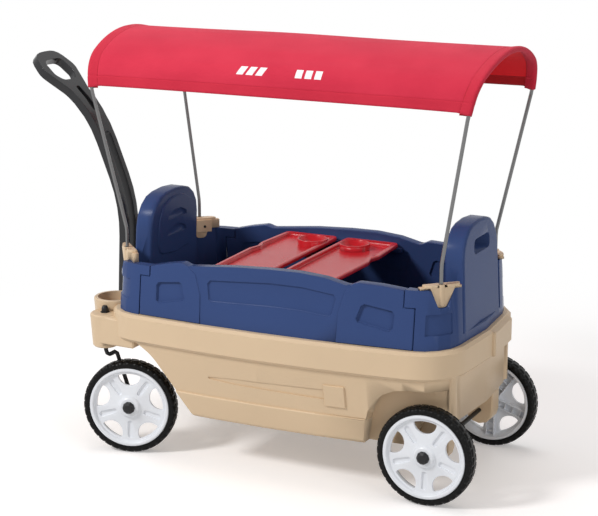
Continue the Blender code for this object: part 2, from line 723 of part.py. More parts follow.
def make_handle(material):
    """Flat outline, drawn along the length from the grip down, bent to the spine."""
    half = [(0.0, 0.0), (0.052, 0.002, 0.040), (0.0745, 0.066, 0.040), (0.040, 0.150, 0.06),
            (0.034, 0.240, 0.3), (0.034, HANDLE_LENGTH - 0.012)]
    hole = [(0.0, 0.031), (0.041, 0.033, 0.020), (0.046, 0.085, 0.020), (0.030, 0.108, 0.020), (0.0, 0.110)]
    short = [(0.0, 0.138), (0.008, 0.138, 0.006), (0.010, 0.222, 0.008), (0.0, 0.222)]
    long = [(0.0, 0.286), (0.0145, 0.286, 0.010), (0.0145, HANDLE_LENGTH - 0.046, 0.010),
            (0.0, HANDLE_LENGTH - 0.046)]
    shapes = [outline(mirrored(points), 3) for points in (half, hole, short, long)]
    handle = slab(shapes, "XY", -0.0115, 0.0115)
    soften(handle, 0.006, 1)
    spine = list(reversed(handle_spine()))
    lengths = [0.0]
    for first, second in zip(spine, spine[1:]):
        lengths.append(lengths[-1] + (second - first).length)
    scale = lengths[-1] / HANDLE_LENGTH
    normals = []
    for index in range(len(spine)):
        run = spine[min(index + 1, len(spine) - 1)] - spine[max(index - 1, 0)]
        normals.append(run.normalized().cross(Vector((0, 1, 0))))

    def bent(point):
        along = point.y * scale
        index = 1
        while index < len(lengths) - 1 and lengths[index] < along:
            index += 1
        part = (along - lengths[index - 1]) / (lengths[index] - lengths[index - 1])
        here = spine[index - 1].lerp(spine[index], part)
        normal = normals[index - 1].lerp(normals[index], part)
        return here + normal * point.z + Vector((0, point.x, 0))

    reshape(handle, bent, [length / scale for length in lengths[1:-1]], 1)
    boss = crosswise(PIVOT.x, PIVOT.z, 0.017, -0.0305, 0.0305, 20)
    join(handle, boss)
    cut(handle, crosswise(PIVOT.x, PIVOT.z, PIN_RADIUS + GAP, -0.1, 0.1, 16))
    return piece(handle, "handle", material, PIVOT)


# Wheels and their rods


def wheel_parts(name, centre, turn, white, black):
    """Rim and tyre turned about Y, outer face toward the near side before the turn."""
    stand = Matrix.Translation(centre) @ turn @ Matrix.Rotation(math.radians(90), 4, "X")
    profile = [(BORE_RADIUS, 0.022), (0.025, 0.022), (0.034, 0.0165), (0.091, 0.016), (0.094, 0.020),
               (RIM_RADIUS, 0.021), (RIM_RADIUS, -0.021), (0.102, -0.021), (0.097, -0.004),
               (0.024, -0.004), (0.021, -0.022), (BORE_RADIUS, -0.022)]
    rim = turned(profile, WHEEL_FACETS)
    groove = slab([[(0.045, -0.005), (0.045, 0.005), (0.087, 0.006), (0.087, -0.006)]], "XY", 0.012, 0.03)
    window = [(0.0475, -0.010, 0.009), (0.060, -0.018, 0.02), (0.080, -0.034, 0.006), (0.0895, 0.0),
              (0.080, 0.034, 0.006), (0.060, 0.018, 0.02), (0.0475, 0.010, 0.009)]
    window = slab([outline(window, 1)], "XY", -0.03, 0.03)
    step = 2 * math.pi / SPOKES
    for index in range(SPOKES):
        angle = -math.pi / 2 + index * step
        cut(rim, double(groove, Matrix.Rotation(angle, 4, "Z")))
        cut(rim, double(window, Matrix.Rotation(angle + step / 2, 4, "Z")))
    tread = [(RIM_RADIUS + GAP, HALF_TREAD - 0.001), (0.119, HALF_TREAD), (WHEEL_RADIUS, 0.012),
             (WHEEL_RADIUS, -0.012), (0.119, -HALF_TREAD), (RIM_RADIUS + GAP, -HALF_TREAD + 0.001)]
    tyre = turned(tread, WHEEL_FACETS)
    piece(placed(rim, stand), name + "_rim", white, centre)
    piece(placed(tyre, stand), name + "_tyre", black, centre)


def hub_cap(name, centre, turn, material):
    """Push-on cap over the end of the axle, a little clear of the hub."""
    profile = [(0, 0.010), (0.010, 0.010), (0.0155, 0.006), (0.017, 0), (AXLE_RADIUS + GAP, 0),
               (AXLE_RADIUS + GAP, 0.0065), (0, 0.0065)]
    cap = turned(profile, 10, False)
    stand = Matrix.Translation(centre) @ turn @ Matrix.Rotation(math.radians(90), 4, "X")
    piece(placed(cap, stand @ shifted(z=HALF_TREAD + GAP)), name, material)


def make_rear_axle(steel, white, black):
    tip = REAR_WHEEL_Y + HALF_TREAD + 0.006
    axle = crosswise(REAR_AXLE_X, WHEEL_RADIUS, AXLE_RADIUS, -tip, tip, 24)
    piece(axle, "rear_axle", steel, (REAR_AXLE_X, 0, WHEEL_RADIUS))
    for name, side in (("near", -1), ("far", 1)):
        turn = Matrix.Rotation(0 if side < 0 else math.pi, 4, "Z")
        centre = Vector((REAR_AXLE_X, side * REAR_WHEEL_Y, WHEEL_RADIUS))
        wheel_parts("rear_wheel_" + name, centre, turn, white, black)
        hub_cap("rear_cap_" + name, centre, turn, black)


def make_caster(name, side, steel, white, black):
    """Cranked rod in the swivel boss, with the stub axle of a front wheel."""
    pin = Vector((KINGPIN_X, side * KINGPIN_Y, 0))
    turn = Matrix.Rotation(CASTER_YAW, 4, "Z")
    away = side * CASTER_OUTSET
    hub = side * (CASTER_OUTSET + HALF_TREAD + 0.006)
    back = side * (CASTER_OUTSET - HALF_TREAD - 0.012)
    line = [(0, 0, 0.384), (0, 0, 0.270), (0.003, 0, 0.261), (0.010, 0, 0.258), (0.018, 0, 0.262),
            (0.024, 0, 0.266), (0.031, 0, 0.262), (CASTER_TRAIL - 0.010, back, 0.146),
            (CASTER_TRAIL - 0.003, back, 0.131), (CASTER_TRAIL, back + side * 0.006, WHEEL_RADIUS),
            (CASTER_TRAIL, hub, WHEEL_RADIUS)]
    rod = placed(wire(line, AXLE_RADIUS, 2), Matrix.Translation(pin) @ turn)
    piece(rod, "caster_rod_" + name, steel, pin, 40)
    centre = pin + turn @ Vector((CASTER_TRAIL, away, WHEEL_RADIUS))
    facing = turn @ Matrix.Rotation(0 if side < 0 else math.pi, 4, "Z")
    wheel_parts("front_wheel_" + name, centre, facing, white, black)
    hub_cap("front_cap_" + name, centre, facing, black)
    washer = turned([(AXLE_RADIUS + GAP, 0.0015), (0.0120, 0.0015), (0.0120, 0), (AXLE_RADIUS + GAP, 0)], 10)
    piece(placed(washer, shifted(pin.x, pin.y, 0.375 + GAP)), "kingpin_washer_" + name, steel)
    cap = turned([(0, 0.016), (0.006, 0.016), (0.009, 0.010), (0.0095, 0), (AXLE_RADIUS + GAP, 0),
                  (AXLE_RADIUS + GAP, 0.008), (0, 0.008)], 10, False)
    piece(placed(cap, shifted(pin.x, pin.y, 0.3771)), "kingpin_cap_" + name, black)


def make_pin(steel):
    tip = EAR_INNER + EAR_THICK + 0.006
    pin = crosswise(PIVOT.x, PIVOT.z, PIN_RADIUS, -tip, tip, 16)
    piece(pin, "handle_pin", steel, PIVOT)
    for name, side in (("near", -1), ("far", 1)):
        nut = turned([(0, 0.009), (0.007, 0.008), (0.009, 0), (PIN_RADIUS + GAP, 0),
                      (PIN_RADIUS + GAP, 0.0065), (0, 0.0065)], 10, False)
        stand = shifted(PIVOT.x, side * (EAR_INNER + EAR_THICK + GAP), PIVOT.z)
        stand = stand @ Matrix.Rotation(math.radians(-90 * side), 4, "X")
        piece(placed(nut, stand), "pin_nut_" + name, steel)


TAN = paint("tan_plastic", (0.68, 0.51, 0.32), 0.45)
BLUE = paint("blue_plastic", (0.05, 0.085, 0.22), 0.40)
RED = paint("red_plastic", (0.58, 0.02, 0.03), 0.38)
CLOTH_RED = paint("red_cloth", (0.75, 0.05, 0.09), 0.85)
WHITE = paint("white_plastic", (0.84, 0.85, 0.88), 0.35)
BLACK = paint("black_plastic", (0.012, 0.012, 0.013), 0.50)
DARK = paint("handle_plastic", (0.03, 0.032, 0.036), 0.45)
GREY = paint("grey_steel", (0.30, 0.30, 0.30), 0.40, 1.0)
STEEL = paint("black_steel", (0.02, 0.02, 0.02), 0.45, 1.0)

make_tub(TAN)
make_liner(BLUE)
make_end("rear_end", 1, LAP_REAR, POLE_REAR_X, WALL_TOP, BLUE)
make_end("front_end", -1, LAP_FRONT, POLE_FRONT_X, FRONT_TOP, BLUE)
near_panel = make_panel(BLUE)
far_panel = across(near_panel)
piece(near_panel, "side_panel_near", BLUE)
piece(far_panel, "side_panel_far", BLUE)
make_tray("tray_front", -1, -0.110, (0.038, 0.148), RED)
make_tray("tray_rear", 1, 0.076, (-0.022, 0.146), RED)
for pole_name, x, y, wall in (("rear_near", POLE_REAR_X, -POLE_Y, WALL_TOP),
                              ("rear_far", POLE_REAR_X, POLE_Y, WALL_TOP),
                              ("front_near", POLE_FRONT_X, -POLE_Y, FRONT_TOP),
                              ("front_far", POLE_FRONT_X, POLE_Y, FRONT_TOP)):
    make_bracket("bracket_" + pole_name, x, y, wall, TAN, BLACK)
make_hoop("hoop_rear", 1, GREY)
make_hoop("hoop_front", -1, GREY)
make_canopy(CLOTH_RED)
make_handle(DARK)
make_pin(STEEL)
make_rear_axle(STEEL, WHITE, BLACK)
make_caster("near", -1, STEEL, WHITE, BLACK)
make_caster("far", 1, STEEL, WHITE, BLACK)
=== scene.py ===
# %% [markdown]
# Pull wagon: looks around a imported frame.
# The wagon is a moulded tub on four wheels with a cloth canopy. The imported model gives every
# rigid piece its place, so this file only adds finishes and the pieces that solids show badly:
# the cloth, the tyres with their tread, the wheels' fine edges and the small hardware.

# %% Load the frame
import json
import math
import bpy
import bmesh
from mathutils import Matrix, Vector, noise


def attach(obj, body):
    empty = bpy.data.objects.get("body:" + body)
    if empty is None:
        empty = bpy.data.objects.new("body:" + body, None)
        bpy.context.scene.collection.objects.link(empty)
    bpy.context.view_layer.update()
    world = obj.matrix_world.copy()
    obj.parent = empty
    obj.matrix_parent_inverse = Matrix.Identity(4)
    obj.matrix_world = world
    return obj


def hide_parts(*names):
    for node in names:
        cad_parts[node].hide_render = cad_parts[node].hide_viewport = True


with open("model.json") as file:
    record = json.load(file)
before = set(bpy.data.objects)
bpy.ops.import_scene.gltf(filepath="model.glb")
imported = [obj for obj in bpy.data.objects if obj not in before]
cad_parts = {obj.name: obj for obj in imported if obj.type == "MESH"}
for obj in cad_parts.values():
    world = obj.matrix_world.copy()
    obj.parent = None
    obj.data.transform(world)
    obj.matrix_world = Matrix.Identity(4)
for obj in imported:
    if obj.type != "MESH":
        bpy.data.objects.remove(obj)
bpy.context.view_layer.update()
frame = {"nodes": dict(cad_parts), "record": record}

nodes = frame["nodes"]

# %% [markdown]
# The camera comes first. A long lens about four and a half metres away gives the gentle
# perspective of a catalogue picture. The place was fitted to the wheels and the poles, so it is
# written here as one point and one target, and the lens follows from the width of the picture.

# %% Camera
IMAGE_WIDTH = 598
FOCAL_PIXELS = 1752.4
SENSOR_WIDTH = 36.0
CAMERA_PLACE = Vector((1.908, -4.051, 1.657))
CAMERA_TARGET = Vector((-0.0418, 0.0, 0.5245))

camera_data = bpy.data.cameras.new("camera")
camera_data.sensor_width = SENSOR_WIDTH
camera_data.lens = FOCAL_PIXELS * SENSOR_WIDTH / IMAGE_WIDTH
camera = bpy.data.objects.new("camera", camera_data)
bpy.context.scene.collection.objects.link(camera)
camera.location = CAMERA_PLACE
camera.rotation_euler = (CAMERA_TARGET - CAMERA_PLACE).to_track_quat("-Z", "Y").to_euler()
bpy.context.scene.camera = camera
print("lens", round(camera_data.lens, 1), "mm")

# %% [markdown]
# Every material below is a small graph of nodes. Three helpers keep the graphs short to write: one
# starts an empty material, one adds a node with its settings and the plain values of its sockets,
# and one tells the rays that reach the camera, straight or by way of a mirror, from the rays that
# only carry light.

# %% Helpers for nodes
def new_material(name):
    material = bpy.data.materials.new(name)
    material.use_nodes = True
    tree = material.node_tree
    tree.nodes.clear()
    return material, tree


def node(tree, kind, sockets=None, **settings):
    made = tree.nodes.new(kind)
    for key, setting in settings.items():
        setattr(made, key, setting)
    for key, plain_value in (sockets or {}).items():
        made.inputs[key].default_value = plain_value
    return made


def camera_or_mirror(tree):
    path = node(tree, "ShaderNodeLightPath")
    first = node(tree, "ShaderNodeMath", operation="MAXIMUM")
    second = node(tree, "ShaderNodeMath", operation="MAXIMUM")
    tree.links.new(path.outputs["Is Camera Ray"], first.inputs[0])
    tree.links.new(path.outputs["Is Glossy Ray"], first.inputs[1])
    tree.links.new(first.outputs[0], second.inputs[0])
    tree.links.new(path.outputs["Is Transmission Ray"], second.inputs[1])
    return second.outputs[0]


print("node helpers ready")

# %% [markdown]
# A studio floor should look white and still hold a soft shadow. Near the wagon the floor is part
# plain diffuse surface and part glow, and further out it fades to pure white. Only the camera and
# mirrors see that glow, so it whitens the picture without adding light to the wagon.

# %% Floor
FLOOR_REACH = 30.0
SHADOW_RADIUS = 0.75
WHITE_RADIUS = 2.1

floor_material, tree = new_material("studio_floor")
link = tree.links.new
seen = camera_or_mirror(tree)
bounce = node(tree, "ShaderNodeBsdfDiffuse", {"Color": (0.74, 0.74, 0.74, 1)})
plain = node(tree, "ShaderNodeBsdfDiffuse", {"Color": (0.90, 0.875, 0.865, 1)})
glow = node(tree, "ShaderNodeEmission", {"Color": (1.0, 0.98, 0.975, 1), "Strength": 0.27})
both = node(tree, "ShaderNodeAddShader")
white = node(tree, "ShaderNodeEmission")
place = node(tree, "ShaderNodeTexCoord")
distance = node(tree, "ShaderNodeVectorMath", operation="LENGTH")
fade = node(tree, "ShaderNodeMapRange", {"From Min": SHADOW_RADIUS, "From Max": WHITE_RADIUS},
            interpolation_type="SMOOTHSTEP")
spread = node(tree, "ShaderNodeMixShader")
choose = node(tree, "ShaderNodeMixShader")
out = node(tree, "ShaderNodeOutputMaterial")
link(place.outputs["Object"], distance.inputs[0])
link(distance.outputs["Value"], fade.inputs["Value"])
link(plain.outputs[0], both.inputs[0])
link(glow.outputs[0], both.inputs[1])
link(fade.outputs["Result"], spread.inputs[0])
link(both.outputs[0], spread.inputs[1])
link(white.outputs[0], spread.inputs[2])
link(seen, choose.inputs[0])
link(bounce.outputs[0], choose.inputs[1])
link(spread.outputs[0], choose.inputs[2])
link(choose.outputs[0], out.inputs["Surface"])

floor_mesh = bpy.data.meshes.new("floor")
corners = [(x * FLOOR_REACH, y * FLOOR_REACH, 0) for x, y in ((-1, -1), (1, -1), (1, 1), (-1, 1))]
floor_mesh.from_pydata(corners, [], [(0, 1, 2, 3)])
floor_mesh.materials.append(floor_material)
floor = bpy.data.objects.new("floor", floor_mesh)
bpy.context.scene.collection.objects.link(floor)
print("floor", FLOOR_REACH * 2, "m wide")

# %% [markdown]
# The world works the same way. It lights the wagon softly from all round, and the camera and
# mirrors see it as plain white.

# %% World
world = bpy.data.worlds.new("studio")
bpy.context.scene.world = world
world.use_nodes = True
tree = world.node_tree
tree.nodes.clear()
link = tree.links.new
seen = camera_or_mirror(tree)
ambient = node(tree, "ShaderNodeBackground", {"Strength": 0.46})
white = node(tree, "ShaderNodeBackground", {"Strength": 1.0})
choose = node(tree, "ShaderNodeMixShader")
out = node(tree, "ShaderNodeOutputWorld")
link(seen, choose.inputs[0])
link(ambient.outputs[0], choose.inputs[1])
link(white.outputs[0], choose.inputs[2])
link(choose.outputs[0], out.inputs["Surface"])
bpy.context.scene.view_settings.view_transform = "Standard"
print("world", world.name)

# %% [markdown]
# Three round lamps do the rest. The key stands high to the left of the camera, so the long side is
# bright and the rear end falls off a little. The fill from the right keeps the rear end and the
# inside of the front seat back readable, and the top lamp brightens the canopy and the rims of
# the tub.

# %% Lamps
LAMP_TARGET = Vector((0, 0, 0.5))


def lamp(name, place, size, watts):
    data = bpy.data.lights.new(name, "AREA")
    data.shape = "DISK"
    data.size = size
    data.energy = watts
    item = bpy.data.objects.new(name, data)
    item.location = place
    item.rotation_euler = (LAMP_TARGET - Vector(place)).to_track_quat("-Z", "Y").to_euler()
    bpy.context.scene.collection.objects.link(item)


lamp("key", (-2.6, -3.6, 3.8), 1.2, 170)
lamp("fill", (3.6, -2.3, 1.9), 2.0, 30)
lamp("top", (0.0, 0.6, 4.6), 3.0, 60)
print("three lamps")

# %% [markdown]
# Moulded plastic is never one flat colour. Its surface carries the fine grain of the mould,
# the colour drifts slightly across a large piece, and the gloss changes where hands rub it.
# One node group gives all three, and each plastic sets its own sizes.

# %% Moulded surface group
def socket(group, name, kind, way="INPUT"):
    return group.interface.new_socket(name, in_out=way, socket_type="NodeSocket" + kind)


def moulded_group():
    group = bpy.data.node_groups.new("moulded_surface", "ShaderNodeTree")
    socket(group, "Color", "Color")
    for name in ("Drift", "Gloss", "Gloss Change", "Grain Size", "Grain Depth"):
        socket(group, name, "Float")
    for name, kind in (("Color", "Color"), ("Roughness", "Float"), ("Normal", "Vector")):
        socket(group, name, kind, "OUTPUT")
    enter = node(group, "NodeGroupInput")
    leave = node(group, "NodeGroupOutput")
    link = group.links.new
    place = node(group, "ShaderNodeTexCoord")
    wide = node(group, "ShaderNodeTexNoise", {"Scale": 5.0, "Detail": 3.0})
    fine = node(group, "ShaderNodeTexNoise", {"Detail": 2.0})
    smear = node(group, "ShaderNodeTexNoise", {"Scale": 22.0, "Detail": 5.0})
    for item in (wide, fine, smear):
        link(place.outputs["Object"], item.inputs["Vector"])
    link(enter.outputs["Grain Size"], fine.inputs["Scale"])

    centred = node(group, "ShaderNodeMath", {1: 0.5}, operation="SUBTRACT")
    amount = node(group, "ShaderNodeMath", {2: 1.0}, operation="MULTIPLY_ADD")
    tint = node(group, "ShaderNodeMix", {"Factor": 1.0}, data_type="RGBA", blend_type="MULTIPLY")
    link(wide.outputs["Fac"], centred.inputs[0])
    link(centred.outputs[0], amount.inputs[0])
    link(enter.outputs["Drift"], amount.inputs[1])
    link(enter.outputs["Color"], tint.inputs[6])
    link(amount.outputs[0], tint.inputs[7])
    link(tint.outputs[2], leave.inputs["Color"])

    rub = node(group, "ShaderNodeMath", {1: 0.5}, operation="SUBTRACT")
    gloss = node(group, "ShaderNodeMath", operation="MULTIPLY_ADD")
    link(smear.outputs["Fac"], rub.inputs[0])
    link(rub.outputs[0], gloss.inputs[0])
    link(enter.outputs["Gloss Change"], gloss.inputs[1])
    link(enter.outputs["Gloss"], gloss.inputs[2])
    link(gloss.outputs[0], leave.inputs["Roughness"])

    bump = node(group, "ShaderNodeBump", {"Distance": 0.0004})
    link(enter.outputs["Grain Depth"], bump.inputs["Strength"])
    link(fine.outputs["Fac"], bump.inputs["Height"])
    link(bump.outputs["Normal"], leave.inputs["Normal"])
    return group


MOULDED = moulded_group()
print("group", MOULDED.name)

# %% [markdown]
# Each finish is that group with its own values in front of one Principled shader. Gloss is given
# as a roughness, so a lower value shines more: the sand-coloured mouldings are satin, and the
# other mouldings and the handle are glossier. The tyres have a coarse grain, and the hoops are
# painted steel that still reflects like metal.

# %% Finishes
GLOSS_CHANGE = 0.10


def moulded(name, color, gloss, drift=0.10, grain=900.0, depth=0.25, metal=0.0, shine=0.40):
    material, tree = new_material(name)
    surface = node(tree, "ShaderNodeGroup", {
        "Color": (*color, 1), "Drift": drift, "Gloss": gloss, "Gloss Change": GLOSS_CHANGE,
        "Grain Size": grain, "Grain Depth": depth}, node_tree=MOULDED)
    shader = node(tree, "ShaderNodeBsdfPrincipled",
                  {"Metallic": metal, "Specular IOR Level": shine})
    out = node(tree, "ShaderNodeOutputMaterial")
    tree.links.new(surface.outputs["Roughness"], shader.inputs["Roughness"])
    tree.links.new(surface.outputs["Normal"], shader.inputs["Normal"])
    tree.links.new(surface.outputs["Color"], shader.inputs["Base Color"])
    tree.links.new(shader.outputs[0], out.inputs["Surface"])
    return material


FINISHES = {
    "tan": moulded("tan_plastic", (0.69, 0.520, 0.345), 0.40, shine=0.24),
    "blue": moulded("blue_plastic", (0.041, 0.072, 0.194), 0.24, shine=0.07, depth=0.15),
    "red": moulded("red_plastic", (0.60, 0.022, 0.032), 0.25),
    "white": moulded("white_plastic", (0.80, 0.82, 0.86), 0.26, drift=0.04, depth=0.12),
    "handle": moulded("handle_plastic", (0.016, 0.016, 0.018), 0.20, shine=0.42),
    "black_plastic": moulded("black_plastic", (0.012, 0.012, 0.013), 0.40, shine=0.30),
    "tyre": moulded("black_tyre", (0.007, 0.007, 0.007), 0.28, drift=0.25, grain=500, depth=0.35,
                    shine=0.11),
    "grey_steel": moulded("grey_steel", (0.20, 0.20, 0.20), 0.34, grain=1500, depth=0.10,
                          metal=0.85),
    "black_steel": moulded("black_steel", (0.020, 0.020, 0.021), 0.38, metal=0.6),
}
slots = {part["node"]: part["material_slot"] for part in frame["record"]["subparts"]}
for name, item in nodes.items():
    finish = FINISHES.get(slots[name])
    if finish is not None:
        item.data.materials.clear()
        item.data.materials.append(finish)
print("finishes", len(FINISHES))

# %% [markdown]
# Many outlines below are lines whose corners are rounded by an arc. One helper makes them all.

# %% Rounded outlines
def rounded(corners, steps):
    """Points of a line whose corners (u, v, radius) are rounded."""
    points = []
    for index, corner in enumerate(corners):
        here = Vector(corner[:2])
        if len(corner) < 3:
            points.append(here)
            continue
        before = (Vector(corners[index - 1][:2]) - here).normalized()
        after = (Vector(corners[(index + 1) % len(corners)][:2]) - here).normalized()
        half = before.angle(after) / 2
        centre = here + (before + after).normalized() * (corner[2] / math.sin(half))
        first = here + before * (corner[2] / math.tan(half)) - centre
        last = here + after * (corner[2] / math.tan(half)) - centre
        turn = first.angle_signed(last)
        for step in range(steps + 1):
            points.append(centre + Matrix.Rotation(-turn * step / steps, 2) @ first)
    return points


print("corners", len(rounded([(0, 0, 1), (4, 0, 1), (4, 4, 1), (0, 4, 1)], 4)))

# %% [markdown]
# The wheels carry most of the fine form. Each rim is a moulding with a rolled lip, five wide spokes
# with a shallow trough in each, and ribs behind. The round parts are profiles turned about the
# axle, and the windows are cut out of them. So the wheel is first made lying flat at the origin
# with its outer face up, and is later turned into its four places. These tools do the work:
# bodies of revolution, flat-sided blocks, cuts, and softened edges.

# %% Bodies for modelling
def body(mesh, name="tool"):
    """An object that holds a mesh while it is worked on."""
    item = bpy.data.objects.new(name, mesh)
    bpy.context.scene.collection.objects.link(item)
    return item


def taken_from(item):
    """The mesh of a body, with the body itself removed."""
    mesh = item.data
    bpy.data.objects.remove(item)
    return mesh


def carried_out(item):
    """The mesh that an item's modifiers make, with the item itself removed."""
    bpy.context.view_layer.update()
    graph = bpy.context.evaluated_depsgraph_get()
    mesh = bpy.data.meshes.new_from_object(item.evaluated_get(graph))
    bpy.data.objects.remove(item)
    return mesh


def turned(profile, steps):
    """Body of revolution about Z from (radius, height) points that close in a ring."""
    count = len(profile)
    build = bmesh.new()
    rings = []
    for step in range(steps):
        angle = 2 * math.pi * step / steps
        rings.append([build.verts.new((radius * math.cos(angle), radius * math.sin(angle), height))
                      for radius, height in profile])
    for step in range(steps):
        here, after = rings[step], rings[(step + 1) % steps]
        for index in range(count):
            other = (index + 1) % count
            build.faces.new((here[index], after[index], after[other], here[other]))
    bmesh.ops.remove_doubles(build, verts=build.verts, dist=1e-6)
    bmesh.ops.recalc_face_normals(build, faces=build.faces)
    mesh = bpy.data.meshes.new("turned")
    build.to_mesh(mesh)
    build.free()
    return body(mesh)


def prism(points, low, high):
    """Upright block with a flat outline."""
    build = bmesh.new()
    bottom = [build.verts.new((point[0], point[1], low)) for point in points]
    top = [build.verts.new((point[0], point[1], high)) for point in points]
    build.faces.new(bottom)
    build.faces.new(top)
    for index in range(len(points)):
        other = (index + 1) % len(points)
        build.faces.new((bottom[index], bottom[other], top[other], top[index]))
    bmesh.ops.recalc_face_normals(build, faces=build.faces)
    mesh = bpy.data.meshes.new("prism")
    build.to_mesh(mesh)
    build.free()
    return body(mesh)


def cut_out(item, others):
    """The item with the other bodies cut away, which are removed."""
    for other in others:
        change = item.modifiers.new("cut", "BOOLEAN")
        change.operation = "DIFFERENCE"
        change.solver = "EXACT"
        change.object = other
    mesh = carried_out(item)
    for other in others:
        bpy.data.objects.remove(other)
    return body(mesh)


def softened(item, width):
    """The item with its sharp edges rounded in three steps."""
    edge = item.modifiers.new("edge", "BEVEL")
    edge.width = width
    edge.segments = 3
    edge.limit_method = "ANGLE"
    edge.angle_limit = math.radians(35)
    return body(carried_out(item))


print("tools ready")

# %% [markdown]
# Whatever repeats is left to Geometry Nodes. Every such tree takes a geometry, a shape to repeat, a
# material and one amount. These functions write the start and the end that the trees share, and
# run a tree on a body to get one plain mesh.

# %% Geometry trees
def geometry_tree(name, amount, amount_kind):
    """Tree with its inputs, their identifiers and its input node."""
    group = bpy.data.node_groups.new(name, "GeometryNodeTree")
    names = {}
    for key, kind in (("Geometry", "Geometry"), ("Shape", "Object"), (amount, amount_kind),
                      ("Material", "Material")):
        names[key] = socket(group, key, kind).identifier
    socket(group, "Geometry", "Geometry", "OUTPUT")
    return group, names, node(group, "NodeGroupInput")


def shapes_on_points(group, enter, points, rotation, base=None):
    """Ends a tree: the shape on every point, joined to the base, all in one material."""
    shape = node(group, "GeometryNodeObjectInfo", transform_space="ORIGINAL")
    place = node(group, "GeometryNodeInstanceOnPoints")
    joined = node(group, "GeometryNodeJoinGeometry")
    real = node(group, "GeometryNodeRealizeInstances")
    paint = node(group, "GeometryNodeSetMaterial")
    leave = node(group, "NodeGroupOutput")
    link = group.links.new
    link(enter.outputs["Shape"], shape.inputs["Object"])
    link(shape.outputs["Geometry"], place.inputs["Instance"])
    link(points, place.inputs["Points"])
    link(rotation, place.inputs["Rotation"])
    link(place.outputs["Instances"], joined.inputs["Geometry"])
    if base:
        link(base, joined.inputs["Geometry"])
    link(joined.outputs[0], real.inputs["Geometry"])
    link(real.outputs[0], paint.inputs["Geometry"])
    link(enter.outputs["Material"], paint.inputs["Material"])
    link(paint.outputs[0], leave.inputs["Geometry"])


def grown(item, tree, names, values):
    """The mesh that a tree makes of an item with these values, whose shape is then removed."""
    change = item.modifiers.new("grown", "NODES")
    change.node_group = tree
    for key, given in values.items():
        change[names[key]] = given
    mesh = carried_out(item)
    bpy.data.objects.remove(values["Shape"])
    return mesh


print("geometry tools ready")

# %% [markdown]
# The tread lugs and the ribs behind the spokes repeat round an axle. This tree puts copies of one
# shape on points that all sit at the origin, turns each copy by its share of a full circle, and
# joins them to the mesh it is given.

# %% Copies round an axle
def ring_of_copies():
    group, names, enter = geometry_tree("copies_round_axle", "Count", "Int")
    points = node(group, "GeometryNodeMeshLine", {"Offset": (0, 0, 0)})
    share = node(group, "ShaderNodeMath", {0: 2 * math.pi}, operation="DIVIDE")
    index = node(group, "GeometryNodeInputIndex")
    angle = node(group, "ShaderNodeMath", operation="MULTIPLY")
    turn = node(group, "ShaderNodeCombineXYZ")
    link = group.links.new
    link(enter.outputs["Count"], points.inputs["Count"])
    link(enter.outputs["Count"], share.inputs[1])
    link(index.outputs[0], angle.inputs[0])
    link(share.outputs[0], angle.inputs[1])
    link(angle.outputs[0], turn.inputs["Z"])
    shapes_on_points(group, enter, points.outputs["Mesh"], turn.outputs[0],
                     enter.outputs["Geometry"])
    return group, names


ROUND_AXLE, ROUND_NAMES = ring_of_copies()
print("inputs", ", ".join(ROUND_NAMES))

# %% [markdown]
# The tyre is a hollow-blown ring with a rounded shoulder. Its outside is one profile turned about
# the axle, a little smaller than the wheel so that the tread stands proud of it.

# %% Tyre
WHEEL_RADIUS = 0.127
RIM_RADIUS = 0.109
HALF_TREAD = 0.022
SHOULDER_RADIUS = 0.0105
SHOULDER_STEPS = 6


def tread_profile(radius, half):
    """Outside of the tyre as (radius, height), from one side over the tread to the other."""
    points = [(RIM_RADIUS + 0.0004, half - 0.0035), (radius - SHOULDER_RADIUS - 0.0045, half)]
    for step in range(SHOULDER_STEPS + 1):
        angle = math.pi / 2 * step / SHOULDER_STEPS
        points.append((radius - SHOULDER_RADIUS + SHOULDER_RADIUS * math.sin(angle),
                       half - SHOULDER_RADIUS + SHOULDER_RADIUS * math.cos(angle)))
    return points + [(r, -h) for r, h in reversed(points)]


carcass = turned(tread_profile(WHEEL_RADIUS - 0.0014, HALF_TREAD - 0.0004), 108)
print("tyre carcass", len(carcass.data.polygons), "faces")

# %% [markdown]
# The tread has thirty-six lugs on each shoulder and a block between each pair. A lug folds over
# the shoulder, so it is drawn as a curved pad: a grid of points on the full profile of the wheel,
# with its edges tucked into the tyre. Each pad has few faces, as it is repeated so often.

# %% Tread lugs
LUGS = 36
LUG_PITCH = 2 * math.pi / LUGS
LUG_DEPTH = 0.004
PAD_SPANS = (-0.5, -0.42, 0.0, 0.42, 0.5)


def pad(build, outer, inner, middle, wide, mirror):
    """Pad over a line of (radius, height) points, whose rim lies on the inner line."""
    grid = []
    for index, (top, under) in enumerate(zip(outer, inner)):
        row = []
        for span in PAD_SPANS:
            tucked = index in (0, len(outer) - 1) or abs(span) == 0.5
            radius, height = under if tucked else top
            angle = middle + wide * LUG_PITCH * span
            row.append(build.verts.new((radius * math.cos(angle), radius * math.sin(angle),
                                        mirror * height)))
        grid.append(row)
    for upper, lower in zip(grid, grid[1:]):
        for a in range(len(PAD_SPANS) - 1):
            face = build.faces.new((upper[a], upper[a + 1], lower[a + 1], lower[a]))
            face.smooth = True


